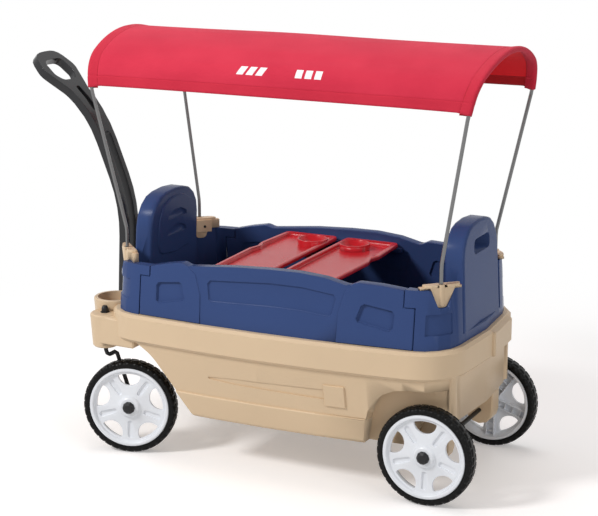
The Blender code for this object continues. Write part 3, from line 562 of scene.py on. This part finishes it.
def lug_mesh():
    """One lug on each shoulder, half a pitch apart, and one block between them."""
    build = bmesh.new()
    low = WHEEL_RADIUS - LUG_DEPTH
    shoulder = slice(2, 3 + SHOULDER_STEPS)
    line = tread_profile(WHEEL_RADIUS, HALF_TREAD)[shoulder]
    tucked_line = tread_profile(low, HALF_TREAD - 0.002)[shoulder]
    pad(build, line, tucked_line, 0.0, 0.93, 1)
    pad(build, line, tucked_line, LUG_PITCH / 2, 0.93, -1)
    block = [(low, 0.0095), (WHEEL_RADIUS, 0.0080), (WHEEL_RADIUS, 0.0), (WHEEL_RADIUS, -0.0080),
             (low, -0.0095)]
    pad(build, block, [(low, height) for radius, height in block], LUG_PITCH / 4, 0.92, 1)
    bmesh.ops.recalc_face_normals(build, faces=build.faces)
    mesh = bpy.data.meshes.new("lug")
    build.to_mesh(mesh)
    build.free()
    return mesh


tyre_mesh = grown(carcass, ROUND_AXLE, ROUND_NAMES,
                  {"Shape": body(lug_mesh(), "lug"), "Count": LUGS, "Material": FINISHES["tyre"]})
print("tyre faces", len(tyre_mesh.polygons))

# %% [markdown]
# The rim starts as a turned dish. Five eye-shaped windows leave the spokes: the outer side of each
# follows the lip, and the inner side is a round arc that bulges toward the hub. A trough runs down
# the middle of each spoke. Then every sharp edge is rounded, as on a real moulding.

# %% Rim with its windows and troughs
SPOKES = 5
DISH = [(0.0063, 0.022), (0.0235, 0.022), (0.0275, 0.0192), (0.0300, 0.0150), (0.0345, 0.0128),
        (0.0965, 0.0122), (0.0985, 0.0185), (0.1010, 0.0208), (0.1060, 0.0212), (0.1088, 0.0200),
        (0.1088, -0.0210), (0.1020, -0.0210), (0.0975, 0.0040), (0.0330, 0.0040), (0.0240, 0.0020),
        (0.0215, -0.0220), (0.0063, -0.0220)]
BELOW, ABOVE = -0.03, 0.03
TROUGH_FLOOR = 0.0080


def arc(centre, radius, angles):
    """Points of an arc about a centre on the X axis."""
    return [(centre + radius * math.cos(angle), radius * math.sin(angle)) for angle in angles]


window = arc(0.0, 0.0915, [0.042 * step for step in range(-8, 9)])
window += arc(0.0900, 0.0312, [math.radians(angle) for angle in range(98, 263, 12)])
trough = rounded([(0.0400, -0.0060, 0.005), (0.0880, -0.0078, 0.0070), (0.0880, 0.0078, 0.0070),
                  (0.0400, 0.0060, 0.005)], 6)
cutters = []
for index in range(SPOKES):
    middle = -math.pi / 2 + 2 * math.pi * index / SPOKES
    for points, angle, low in ((window, middle + math.pi / SPOKES, BELOW),
                               (trough, middle, TROUGH_FLOOR)):
        turn = Matrix.Rotation(angle, 2)
        cutters.append(prism([turn @ Vector(point[:2]) for point in points], low, ABOVE))
rim_body = softened(cut_out(turned(DISH, 90), cutters), 0.0016)
print("rim", len(rim_body.data.polygons), "faces")

# %% [markdown]
# Behind each spoke two long ribs and three short ones stiffen the moulding. They are drawn once
# and copied round the axle by the same tree as the lugs.

# %% Ribs of the rim
HALF_RIB = 0.0008


def rib(build, x, y, low, high):
    """Adds an upright block between two values of x and two of y."""
    block = prism([(x[0], y[0]), (x[1], y[0]), (x[1], y[1]), (x[0], y[1])], low, high)
    build.from_mesh(block.data)
    bpy.data.objects.remove(block)


build = bmesh.new()
for y in (-0.0105, 0.0105):
    rib(build, (0.022, 0.100), (y - HALF_RIB, y + HALF_RIB), -0.010, 0.006)
for x in (0.043, 0.066, 0.088):
    rib(build, (x - HALF_RIB, x + HALF_RIB), (-0.0115, 0.0115), -0.008, 0.006)
build.transform(Matrix.Rotation(-math.pi / 2, 4, "Z"))
rib_mesh = bpy.data.meshes.new("ribs")
build.to_mesh(rib_mesh)
build.free()
rim_mesh = grown(rim_body, ROUND_AXLE, ROUND_NAMES,
                 {"Shape": body(rib_mesh, "ribs"), "Count": SPOKES, "Material": FINISHES["white"]})
rim_mesh.shade_smooth()
rim_mesh.set_sharp_from_angle(angle=math.radians(32))
print("rim with ribs", len(rim_mesh.polygons), "faces")

# %% [markdown]
# The record's joints say where each wheel sits and which way its axle points. Every wheel
# shares the two meshes above, so each place only needs one matrix.

# %% Wheels in their places
joints = {joint["child"]: joint for joint in frame["record"]["behaviour"]["joints"]}


def ready(name, mesh, ride, replaces):
    """A finished piece, with the body that it rides on and the node that it replaces."""
    item = bpy.data.objects.new(name, mesh)
    bpy.context.scene.collection.objects.link(item)
    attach(item, ride)
    if replaces:
        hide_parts(replaces)
    return item


for wheel in ("front_near", "front_far", "rear_near", "rear_far"):
    joint = joints["wheel_" + wheel]
    outward = Vector(joint["axis"]) * (-1 if wheel.endswith("near") else 1)
    up = Vector((0, 0, 1))
    turn = Matrix((up.cross(outward), up, outward)).transposed().to_4x4()
    stand = Matrix.Translation(Vector(joint["pos_m"])) @ turn
    for part, mesh, finish in (("rim", rim_mesh, "white"), ("tyre", tyre_mesh, "tyre")):
        own = mesh.copy()
        own.transform(stand)
        packed_name = wheel.replace("_", "_wheel_") + "_" + part
        ready(wheel + "_" + part, own, "wheel_" + wheel, packed_name)
print("wheels placed")

# %% [markdown]
# A flat washer lies under the cap of each swivel pin. It is a turned ring whose bore leaves the
# pin room all round, so the pin never rubs on it as the wheel swings.

# %% Washers of the swivel pins
WASHER = [(0.0065, 0.0013), (0.0068, 0.0015), (0.0117, 0.0015), (0.0120, 0.0012), (0.0120, 0),
          (0.0065, 0)]
WASHER_Z = 0.3753
for side in ("near", "far"):
    pin = Vector(joints["caster_" + side]["pos_m"])
    washer = taken_from(turned(WASHER, 48))
    washer.transform(Matrix.Translation((pin.x, pin.y, WASHER_Z)))
    washer.materials.append(FINISHES["black_steel"])
    ready("washer_" + side, washer, "wagon", "kingpin_washer_" + side)
print("washers placed")

# %% [markdown]
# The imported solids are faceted, and blow-moulded plastic never is. Each moulding gets a copy
# whose loose triangles are merged, so that it can be shaded smooth. Normals weighted by face size
# keep the broad faces calm and let the narrow ones at the edges roll over like a moulded radius.

# %% Smooth copies of the mouldings
MERGE_DISTANCE = 2e-5
FLAT_ANGLE = 0.020
FACE_WEIGHT = 80
SHARP_ANGLE, TUB_SHARP_ANGLE = 62, 30
bodies = frame["record"]["behaviour"]["bodies"]
body_of = {name: key for key, names in bodies.items() for name in names}


def smooth_copy(name, limit):
    """Smooth-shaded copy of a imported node, sharp where faces meet at more than the limit."""
    source = nodes[name]
    mesh = source.data.copy()
    mesh.transform(source.matrix_world)
    build = bmesh.new()
    build.from_mesh(mesh)
    bmesh.ops.remove_doubles(build, verts=build.verts, dist=MERGE_DISTANCE)
    bmesh.ops.dissolve_limit(build, angle_limit=FLAT_ANGLE, verts=build.verts, edges=build.edges)
    build.to_mesh(mesh)
    build.free()
    mesh.shade_smooth()
    mesh.set_sharp_from_angle(angle=math.radians(limit))
    item = body(mesh, "copy")
    weighted = item.modifiers.new("weighted", "WEIGHTED_NORMAL")
    weighted.weight = FACE_WEIGHT
    weighted.keep_sharp = True
    return ready(name + "_skin", carried_out(item), body_of[name], name)


MOULDINGS = ["tub", "front_end", "rear_end", "side_panel_near", "side_panel_far", "cabin_liner",
             "handle", "tray_front", "tray_rear", "bracket_rear_near", "bracket_rear_far",
             "bracket_front_near", "bracket_front_far"]
for name in MOULDINGS:
    skin = smooth_copy(name, TUB_SHARP_ANGLE if name == "tub" else SHARP_ANGLE)
    print(skin.name, len(skin.data.polygons), "faces")

# %% [markdown]
# Each canopy pole stands in a bracket whose bar lies along the top of the wall. The real bar is a
# thick rounded moulding, so a softened bar with a hole for the pole finishes each bracket. Two of
# the four corners are mirror images, and a mirrored mesh has its faces turned the right way again.

# %% Bars of the brackets
POLE_X = {1: 0.436, -1: -0.450}
POLE_Y = 0.197
POLE_HOLE = 0.0062
BAR_LOW, BAR_HIGH = 0.5485, 0.5550
BAR = [(-0.056, -0.0156, 0.004), (0.046, -0.0156, 0.004), (0.040, 0.000, 0.006),
       (0.028, 0.0062, 0.006), (-0.030, 0.0062, 0.006), (-0.050, 0.000, 0.006)]
for name, end, side in (("rear_near", 1, -1), ("rear_far", 1, 1), ("front_near", -1, -1),
                        ("front_far", -1, 1)):
    along = Vector((-end, side, 0)).normalized()
    out = Vector((end, side, 0)).normalized()
    corner = Matrix((along, out, Vector((0, 0, 1)))).transposed().to_4x4()
    hole = prism(arc(0.0, POLE_HOLE, [step * math.pi / 12 for step in range(24)]),
                 BAR_LOW - 0.02, BAR_HIGH + 0.02)
    bar = taken_from(softened(cut_out(prism(rounded(BAR, 5), BAR_LOW, BAR_HIGH), [hole]), 0.0018))
    bar.transform(Matrix.Translation((POLE_X[end], side * POLE_Y, 0)) @ corner)
    if end * side > 0:
        bar.flip_normals()
    bar.materials.clear()
    bar.materials.append(FINISHES["tan"])
    bar.shade_smooth()
    bar.set_sharp_from_angle(angle=math.radians(35))
    ready("bracket_bar_" + name, bar, "wagon", None)
print("bracket bars placed")

# %% [markdown]
# The canopy is one sheet of woven cloth. It lies over two bent hoops, and at each end it is
# turned back round the hoop and sewn down, which makes a sleeve. Between the hoops it is pulled
# tight along its length, so the hems bow inward and the top stays almost straight. A sheet that
# follows a rule like this is best made as a grid: one direction runs round the arch and the
# other follows the path from sleeve to sleeve.

# %% The line of the arch
HOOP_BEND_Z = 0.605
HOOP_LEAN = 0.197
LEG_FOOT = (0.1975, 0.600)
SHOULDER = (0.240, 1.034)
CROWN_Z = 1.158
CLOTH_EDGE_Z = 0.984
CLOTH_THICK = 0.0012
SLEEVE_RADIUS = 0.0068
SEAM = 0.023
HEM = 0.027

bend = rounded([(-LEG_FOOT[0], LEG_FOOT[1]), (-SHOULDER[0], SHOULDER[1], 0.10), (0, CROWN_Z, 0.40),
                (SHOULDER[0], SHOULDER[1], 0.10), LEG_FOOT], 24)
leg_slope = (SHOULDER[0] - LEG_FOOT[0]) / (SHOULDER[1] - LEG_FOOT[1])
hem_y = LEG_FOOT[0] + leg_slope * (CLOTH_EDGE_Z - LEG_FOOT[1])
near_half = [Vector((-hem_y, CLOTH_EDGE_Z))]
for point in bend[1:-1]:
    # The two roundings overlap by a few millimetres, so a point that steps back is left out.
    if point[1] > CLOTH_EDGE_Z + 0.004 and near_half[-1][0] + 1e-4 < point[0] < -0.002:
        near_half.append(Vector(point))
hoop_arch = near_half + [Vector((0.0, near_half[-1][1] + 0.0001))]
hoop_arch += [Vector((-point[0], point[1])) for point in reversed(near_half)]
lengths = [0.0]
for first, second in zip(hoop_arch, hoop_arch[1:]):
    lengths.append(lengths[-1] + (second - first).length)
ARCH = lengths[-1]


def arch_point(distance):
    """Point of the hoop's middle line at a distance from the near hem."""
    index = 0
    while index < len(lengths) - 2 and lengths[index + 1] < distance:
        index += 1
    part = (distance - lengths[index]) / (lengths[index + 1] - lengths[index])
    return hoop_arch[index].lerp(hoop_arch[index + 1], part)


def with_normal(distance):
    """Point of the hoop's middle line and its outward normal, taken over a short run."""
    run = arch_point(min(distance + 0.010, ARCH)) - arch_point(max(distance - 0.010, 0.0))
    run.normalize()
    return arch_point(distance), Vector((-run[1], run[0]))


print("cloth round the arch", round(ARCH, 3), "m")

# %% [markdown]
# The path from sleeve to sleeve is written once, as a list of points that know their end of the
# canopy, their distance outward from that hoop and their height over its middle line. The sheet
# between the hoops mixes the two ends.

# %% Path of the cloth
SPANS = 96


def smooth(share):
    """Soft step from 0 to 1."""
    share = min(max(share, 0.0), 1.0)
    return share * share * (3 - 2 * share)


def sleeve_path(end):
    """From the seam below the hoop, round it, to its top, as (end, outward, height, mix)."""
    points = []
    for step in range(5):
        part = step / 4
        blend = smooth(part)
        height = (1 - blend) * (SLEEVE_RADIUS - 0.0042) - blend * SLEEVE_RADIUS
        points.append((end, -SEAM * (1 - part), height, 0.0))
    for step in range(1, 8):
        angle = -math.pi / 2 + math.pi * step / 8
        points.append((end, SLEEVE_RADIUS * math.cos(angle), SLEEVE_RADIUS * math.sin(angle), 0.0))
    return points


def hoop_x(end, z):
    """How far along the wagon a hoop stands at a height: upright first, then leaning out."""
    return POLE_X[end] + end * HOOP_LEAN * max(0.0, z - HOOP_BEND_Z)


def span_at(z):
    """Distance between the two hoops at a height."""
    return hoop_x(1, z) - hoop_x(-1, z)


fine = [0.0, 0.006, 0.012, 0.0185, 0.0200, 0.0212, 0.0223, 0.0235, 0.0255, 0.030]
parts = fine + [step / SPANS for step in range(4, SPANS - 3)]
parts += [1 - part for part in reversed(fine)]
path = sleeve_path(-1) + [(0, 0.0, 0.0, part) for part in parts] + sleeve_path(1)[::-1]
print("path", len(path), "points")

# %% [markdown]
# Next comes the shape itself. Near the hems the pull of the cloth draws it inward, the crown has
# a faint hump where it rests loosely, and long shallow creases run along the pull. The seams
# press a groove. Each effect fades in with a soft step, so that no edge shows between them.

# %% Shape of the cloth
def cloth_point(place, distance):
    """Middle of the cloth at one point of the path and one distance round the arch."""
    end, outward, height, mix = place
    flat, normal = with_normal(min(max(distance, 0.0), ARCH))
    edge = min(distance, ARCH - distance)
    if end:
        x = hoop_x(end, flat[1]) + end * outward
        loose = 0.0
    else:
        x = hoop_x(-1, flat[1]) + span_at(flat[1]) * mix
        loose = 1 - (2 * mix - 1) ** 4
        height = SLEEVE_RADIUS - 0.0024 * smooth(min(mix, 1 - mix) / 0.02)
    side = 1 - smooth(edge / 0.20)
    crown = smooth((edge - 0.08) / 0.30)
    pull = 0.013 * loose * side
    lift = 0.0035 * loose * side
    hump = 0.0055 * crown * math.exp(-((mix - 0.44) / 0.20) ** 2) - 0.0012 * loose * crown
    crease = 0.0016 * loose * noise.noise(Vector((x * 2.0, edge * 26.0, 1.7)))
    crease += 0.0010 * loose * side * noise.noise(Vector((x * 3.5, edge * 75.0, 4.1)))
    groove = 0.0007 * math.exp(-((edge - HEM) / 0.0014) ** 2)
    groove -= 0.0006 * smooth((HEM - edge) / 0.002)
    if not end:
        seam = min(mix, 1 - mix) * span_at(flat[1])
        groove += 0.0009 * math.exp(-((seam - SEAM) / 0.0016) ** 2)
    shift = height - pull + hump + crease - groove
    hang = 0.005 * smooth(1 - edge / 0.05) * (1.0 if end else 1 - smooth(min(mix, 1 - mix) / 0.03))
    return Vector((x, flat[0] + normal[0] * shift, flat[1] + normal[1] * shift + lift - hang))


EVEN_ROWS = 84
HEM_ROWS = 0.035
close = [0.0, 0.006, 0.013, 0.020, 0.0235, 0.0252, 0.0262, 0.0270, 0.0278, 0.0290, 0.0315]
even = [ARCH * step / EVEN_ROWS for step in range(EVEN_ROWS + 1)]
ROWS = close + [row for row in even if HEM_ROWS < row < ARCH - HEM_ROWS]
ROWS += [ARCH - row for row in reversed(close)]
mid = [[cloth_point(place, distance) for distance in ROWS] for place in path]
print("grid", len(path), "by", len(ROWS))

# %% [markdown]
# The grid becomes a closed sheet by moving it out and in by half its thickness along its own
# normal. Its map holds metres: the first value runs along the wagon from its middle, and the
# second runs round the arch from the near hem, so the finish can place threads and prints.

# %% Sheet of the canopy
def cloth_normal(i, j):
    """Outward direction of the sheet at one point of the grid, from its neighbours."""
    along = mid[min(i + 1, len(path) - 1)][j] - mid[max(i - 1, 0)][j]
    round_ = mid[i][min(j + 1, len(ROWS) - 1)] - mid[i][max(j - 1, 0)]
    return along.cross(round_).normalized()


UNDERSIDE_SHIFT = 0.03


def place_of(i, j):
    """Place on the cloth's map: metres along the wagon and metres round the arch."""
    end, outward, height, mix = path[i]
    if end:
        run = outward if height > 0 else UNDERSIDE_SHIFT - outward
        return (hoop_x(end, arch_point(ROWS[j])[1]) + end * max(run, 0.0), ROWS[j])
    return (mid[i][j].x, ROWS[j])


cloth_mesh = bpy.data.meshes.new("canopy_cloth")
build = bmesh.new()
uv = build.loops.layers.uv.new("cloth")
double = build.verts.layers.float.new("double")
outer_rows, inner_rows = [], []
for i in range(len(path)):
    offsets = [cloth_normal(i, j) * CLOTH_THICK / 2 for j in range(len(ROWS))]
    outer_rows.append([build.verts.new(point + offset) for point, offset in zip(mid[i], offsets)])
    inner_rows.append([build.verts.new(point - offset) for point, offset in zip(mid[i], offsets)])


def cloth_face(corners, places, slot):
    face = build.faces.new(corners)
    face.smooth = True
    face.material_index = slot
    for loop, place in zip(face.loops, places):
        loop[uv].uv = place


for i in range(len(path) - 1):
    for j in range(len(ROWS) - 1):
        spots = [(i, j), (i, j + 1), (i + 1, j + 1), (i + 1, j)]
        cloth_face([outer_rows[a][b] for a, b in spots], [place_of(a, b) for a, b in spots], 0)
        spots.reverse()
        cloth_face([inner_rows[a][b] for a, b in spots], [place_of(a, b) for a, b in spots], 1)
last_i, last_j = len(path) - 1, len(ROWS) - 1
edge_spots = [(i, 0) for i in range(last_i)] + [(last_i, j) for j in range(last_j)]
edge_spots += [(i, last_j) for i in range(last_i, 0, -1)] + [(0, j) for j in range(last_j, 0, -1)]
for (a, b), (c, d) in zip(edge_spots, edge_spots[1:] + edge_spots[:1]):
    cloth_face([outer_rows[a][b], inner_rows[a][b], inner_rows[c][d], outer_rows[c][d]],
               [place_of(a, b), place_of(a, b), place_of(c, d), place_of(c, d)], 0)
for rows in (outer_rows, inner_rows):
    for (end, outward, height, mix), row in zip(path, rows):
        for distance, vertex in zip(ROWS, row):
            edge = min(distance, ARCH - distance)
            seam = min(mix, 1 - mix) * span_at(arch_point(distance)[1])
            vertex[double] = 1.0 if end or seam < SEAM or edge < HEM else 0.0
bmesh.ops.recalc_face_normals(build, faces=build.faces)
build.to_mesh(cloth_mesh)
build.free()
canopy = bpy.data.objects.new("canopy_cloth", cloth_mesh)
bpy.context.scene.collection.objects.link(canopy)
print("cloth faces", len(cloth_mesh.polygons))

# %% [markdown]
# Canopy cloth is a plain polyester weave with a faint sheen. The weave reads the sheet's own map,
# where one unit is one metre: two rows of waves give the warp and the weft, and slow noise lets
# the dye drift between two tones. Where the cloth lies double, in the sleeves and the hems, less
# light comes through, so a shade is laid over it. Both faces of the cloth use this group.

# %% Woven cloth group
def weave_group():
    group = bpy.data.node_groups.new("woven_cloth", "ShaderNodeTree")
    socket(group, "Map", "Vector")
    socket(group, "Double", "Float")
    for name in ("Dark", "Light", "Shade"):
        socket(group, name, "Color")
    socket(group, "Color", "Color", "OUTPUT")
    socket(group, "Height", "Float", "OUTPUT")
    enter = node(group, "NodeGroupInput")
    leave = node(group, "NodeGroupOutput")
    link = group.links.new
    threads = node(group, "ShaderNodeMath", operation="MAXIMUM")
    for index, direction in enumerate("XY"):
        wave = node(group, "ShaderNodeTexWave", {"Scale": 230.0, "Distortion": 0.6, "Detail": 1.0},
                    wave_type="BANDS", bands_direction=direction)
        link(enter.outputs["Map"], wave.inputs["Vector"])
        link(wave.outputs["Fac"], threads.inputs[index])
    fade = node(group, "ShaderNodeTexNoise", {"Scale": 6.0, "Detail": 4.0})
    spread = node(group, "ShaderNodeMapRange", {"From Min": 0.30, "From Max": 0.72})
    dye = node(group, "ShaderNodeMix", data_type="RGBA")
    thread = node(group, "ShaderNodeMix", {"Factor": 0.20}, data_type="RGBA", blend_type="MULTIPLY")
    layer = node(group, "ShaderNodeMix", data_type="RGBA", blend_type="MULTIPLY")
    link(enter.outputs["Map"], fade.inputs["Vector"])
    link(fade.outputs["Fac"], spread.inputs["Value"])
    link(spread.outputs["Result"], dye.inputs[0])
    link(enter.outputs["Dark"], dye.inputs[6])
    link(enter.outputs["Light"], dye.inputs[7])
    link(dye.outputs[2], thread.inputs[6])
    link(threads.outputs[0], thread.inputs[7])
    link(enter.outputs["Double"], layer.inputs[0])
    link(thread.outputs[2], layer.inputs[6])
    link(enter.outputs["Shade"], layer.inputs[7])
    link(layer.outputs[2], leave.inputs["Color"])
    link(threads.outputs[0], leave.inputs["Height"])
    return group


WEAVE = weave_group()
print("group", WEAVE.name)

# %% [markdown]
# The near side carries a row of plain white bars in two groups of three. A mask finds them on the
# map: the distance along the cloth is counted in bars, and a bar fills the first part of each
# count. A lean slants the bars of the left group.

# %% Printed bars
BAR_FOOT = 0.056
BAR_ROW = (0.057, 0.083)
BAR_FILL = 0.70


def value(tree, operation, first, second=None):
    """A Math node on sockets or plain numbers."""
    made = node(tree, "ShaderNodeMath", operation=operation)
    for index, given in enumerate((first, second)):
        if isinstance(given, (int, float)):
            made.inputs[index].default_value = given
        elif given is not None:
            tree.links.new(given, made.inputs[index])
    return made.outputs[0]


def between(tree, given, low, high):
    above = value(tree, "GREATER_THAN", given, low)
    below = value(tree, "LESS_THAN", given, high)
    return value(tree, "MULTIPLY", above, below)


def bars(tree, along, round_, start, pitch, slant):
    """Mask of three bars that begin at a distance along the cloth."""
    lean = value(tree, "MULTIPLY", value(tree, "SUBTRACT", round_, BAR_FOOT), slant)
    run = value(tree, "SUBTRACT", value(tree, "SUBTRACT", along, start), lean)
    count = value(tree, "DIVIDE", run, pitch)
    row = value(tree, "MULTIPLY", between(tree, count, 0.0, 3.0), between(tree, round_, *BAR_ROW))
    filled = value(tree, "LESS_THAN", value(tree, "FRACT", count), BAR_FILL)
    return value(tree, "MULTIPLY", row, filled)


def printed(tree, place, color):
    """The colour with the white bars printed on it."""
    split = node(tree, "ShaderNodeSeparateXYZ")
    tree.links.new(place, split.inputs[0])
    along, round_ = split.outputs[0], split.outputs[1]
    left = bars(tree, along, round_, -0.116, 0.0268, 0.34)
    right = bars(tree, along, round_, 0.047, 0.0262, -0.02)
    ink = node(tree, "ShaderNodeMix", {7: (0.86, 0.86, 0.87, 1)}, data_type="RGBA")
    tree.links.new(value(tree, "MAXIMUM", left, right), ink.inputs[0])
    tree.links.new(color, ink.inputs[6])
    return ink.outputs[2]


print("bar mask ready")

# %% [markdown]
# The outer face is the dyed and printed one. The inner face has a warmer, brighter red painted into
# its colour, a painted glow for the light that comes through the cloth.

# %% Cloth finishes
def woven(name, dark, light, shade, with_print):
    material, tree = new_material(name)
    link = tree.links.new
    place = node(tree, "ShaderNodeUVMap", uv_map="cloth")
    double = node(tree, "ShaderNodeAttribute", attribute_name="double")
    cloth = node(tree, "ShaderNodeGroup",
                 {"Dark": (*dark, 1), "Light": (*light, 1), "Shade": (*shade, 1)}, node_tree=WEAVE)
    bump = node(tree, "ShaderNodeBump", {"Strength": 0.35, "Distance": 0.0005})
    shader = node(tree, "ShaderNodeBsdfPrincipled", {
        "Roughness": 0.80, "Specular IOR Level": 0.20, "Sheen Weight": 0.12, "Sheen Roughness": 0.5,
        "Sheen Tint": (1.0, 0.55, 0.62, 1)})
    out = node(tree, "ShaderNodeOutputMaterial")
    link(place.outputs["UV"], cloth.inputs["Map"])
    link(double.outputs["Fac"], cloth.inputs["Double"])
    link(cloth.outputs["Height"], bump.inputs["Height"])
    color = cloth.outputs["Color"]
    if with_print:
        color = printed(tree, place.outputs["UV"], color)
    link(color, shader.inputs["Base Color"])
    link(bump.outputs["Normal"], shader.inputs["Normal"])
    link(shader.outputs[0], out.inputs["Surface"])
    return material


cloth_mesh.materials.append(woven("canopy_weave", (0.60, 0.022, 0.055), (0.70, 0.034, 0.072),
                                  (0.94, 0.846, 0.846), True))
# Inner face: its brighter red is a painted glow of light through the cloth, its double shade
# painted shade.
cloth_mesh.materials.append(woven("canopy_inside_painted_glow", (0.74, 0.014, 0.022), (0.80, 0.022, 0.030),
                                  (0.50, 0.45, 0.45), False))
print("cloth materials", len(cloth_mesh.materials))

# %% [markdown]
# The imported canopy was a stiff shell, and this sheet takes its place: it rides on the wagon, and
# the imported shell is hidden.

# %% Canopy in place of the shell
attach(canopy, "wagon")
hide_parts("canopy")

# %% [markdown]
# The seams are rows of small stitches. Their tree turns a line of points into a curve, walks along
# it at an even pitch and sets one stitch at each place, turned along the seam.

# %% Tree of the stitches
def stitch_tree():
    group, names, enter = geometry_tree("stitches_on_line", "Pitch", "Float")
    line = node(group, "GeometryNodeMeshToCurve")
    walk = node(group, "GeometryNodeCurveToPoints", mode="LENGTH")
    group.links.new(enter.outputs["Geometry"], line.inputs["Mesh"])
    group.links.new(line.outputs["Curve"], walk.inputs["Curve"])
    group.links.new(enter.outputs["Pitch"], walk.inputs["Length"])
    shapes_on_points(group, enter, walk.outputs["Points"], walk.outputs["Rotation"])
    return group, names


STITCHES, STITCH_NAMES = stitch_tree()
print("inputs", ", ".join(STITCH_NAMES))

# %% [markdown]
# Four seams need stitches: one along each hem, and one beside each hoop where the sleeve is sewn
# down. Their lines come from the same rule as the cloth, so they lie just above it everywhere.

# %% Seams of the canopy
THREAD_OUT = CLOTH_THICK / 2 + 0.0002


def seam_point(mix, distance):
    here = cloth_point((0, 0.0, 0.0, mix), distance)
    normal = with_normal(distance)[1]
    return here + Vector((0, normal[0], normal[1])) * THREAD_OUT


seams = []
for distance in (HEM, ARCH - HEM):
    seams.append([seam_point(0.02 + 0.96 * step / 80, distance) for step in range(81)])
for front in (True, False):
    seam = []
    for step in range(101):
        distance = 0.004 + (ARCH - 0.008) * step / 100
        share = SEAM / span_at(arch_point(distance)[1])
        seam.append(seam_point(share if front else 1 - share, distance))
    seams.append(seam)
points, edges = [], []
for seam in seams:
    edges += [(len(points) + index, len(points) + index + 1) for index in range(len(seam) - 1)]
    points += seam
seam_mesh = bpy.data.meshes.new("seams")
seam_mesh.from_pydata(points, edges, [])
seam_lines = body(seam_mesh, "seams")
print("seams", len(seams), "with", len(edges), "edges")

# %% [markdown]
# One stitch is a short slim block. The tree walks along the four seams with it, and the result
# becomes one plain mesh.

# %% Stitches of the canopy
STITCH_PITCH = 0.0065
THREAD = moulded("red_thread", (0.42, 0.012, 0.030), 0.60, drift=0.2, grain=2500, shine=0.2)
stitch = prism([(-0.00045, 0), (0, -0.00035), (0.00045, 0), (0, 0.00035)], -0.0019, 0.0019)
stitch_mesh = grown(seam_lines, STITCHES, STITCH_NAMES,
                    {"Shape": stitch, "Pitch": STITCH_PITCH, "Material": THREAD})
ready("canopy_stitches", stitch_mesh, "wagon", None)
print("stitch faces", len(stitch_mesh.polygons))
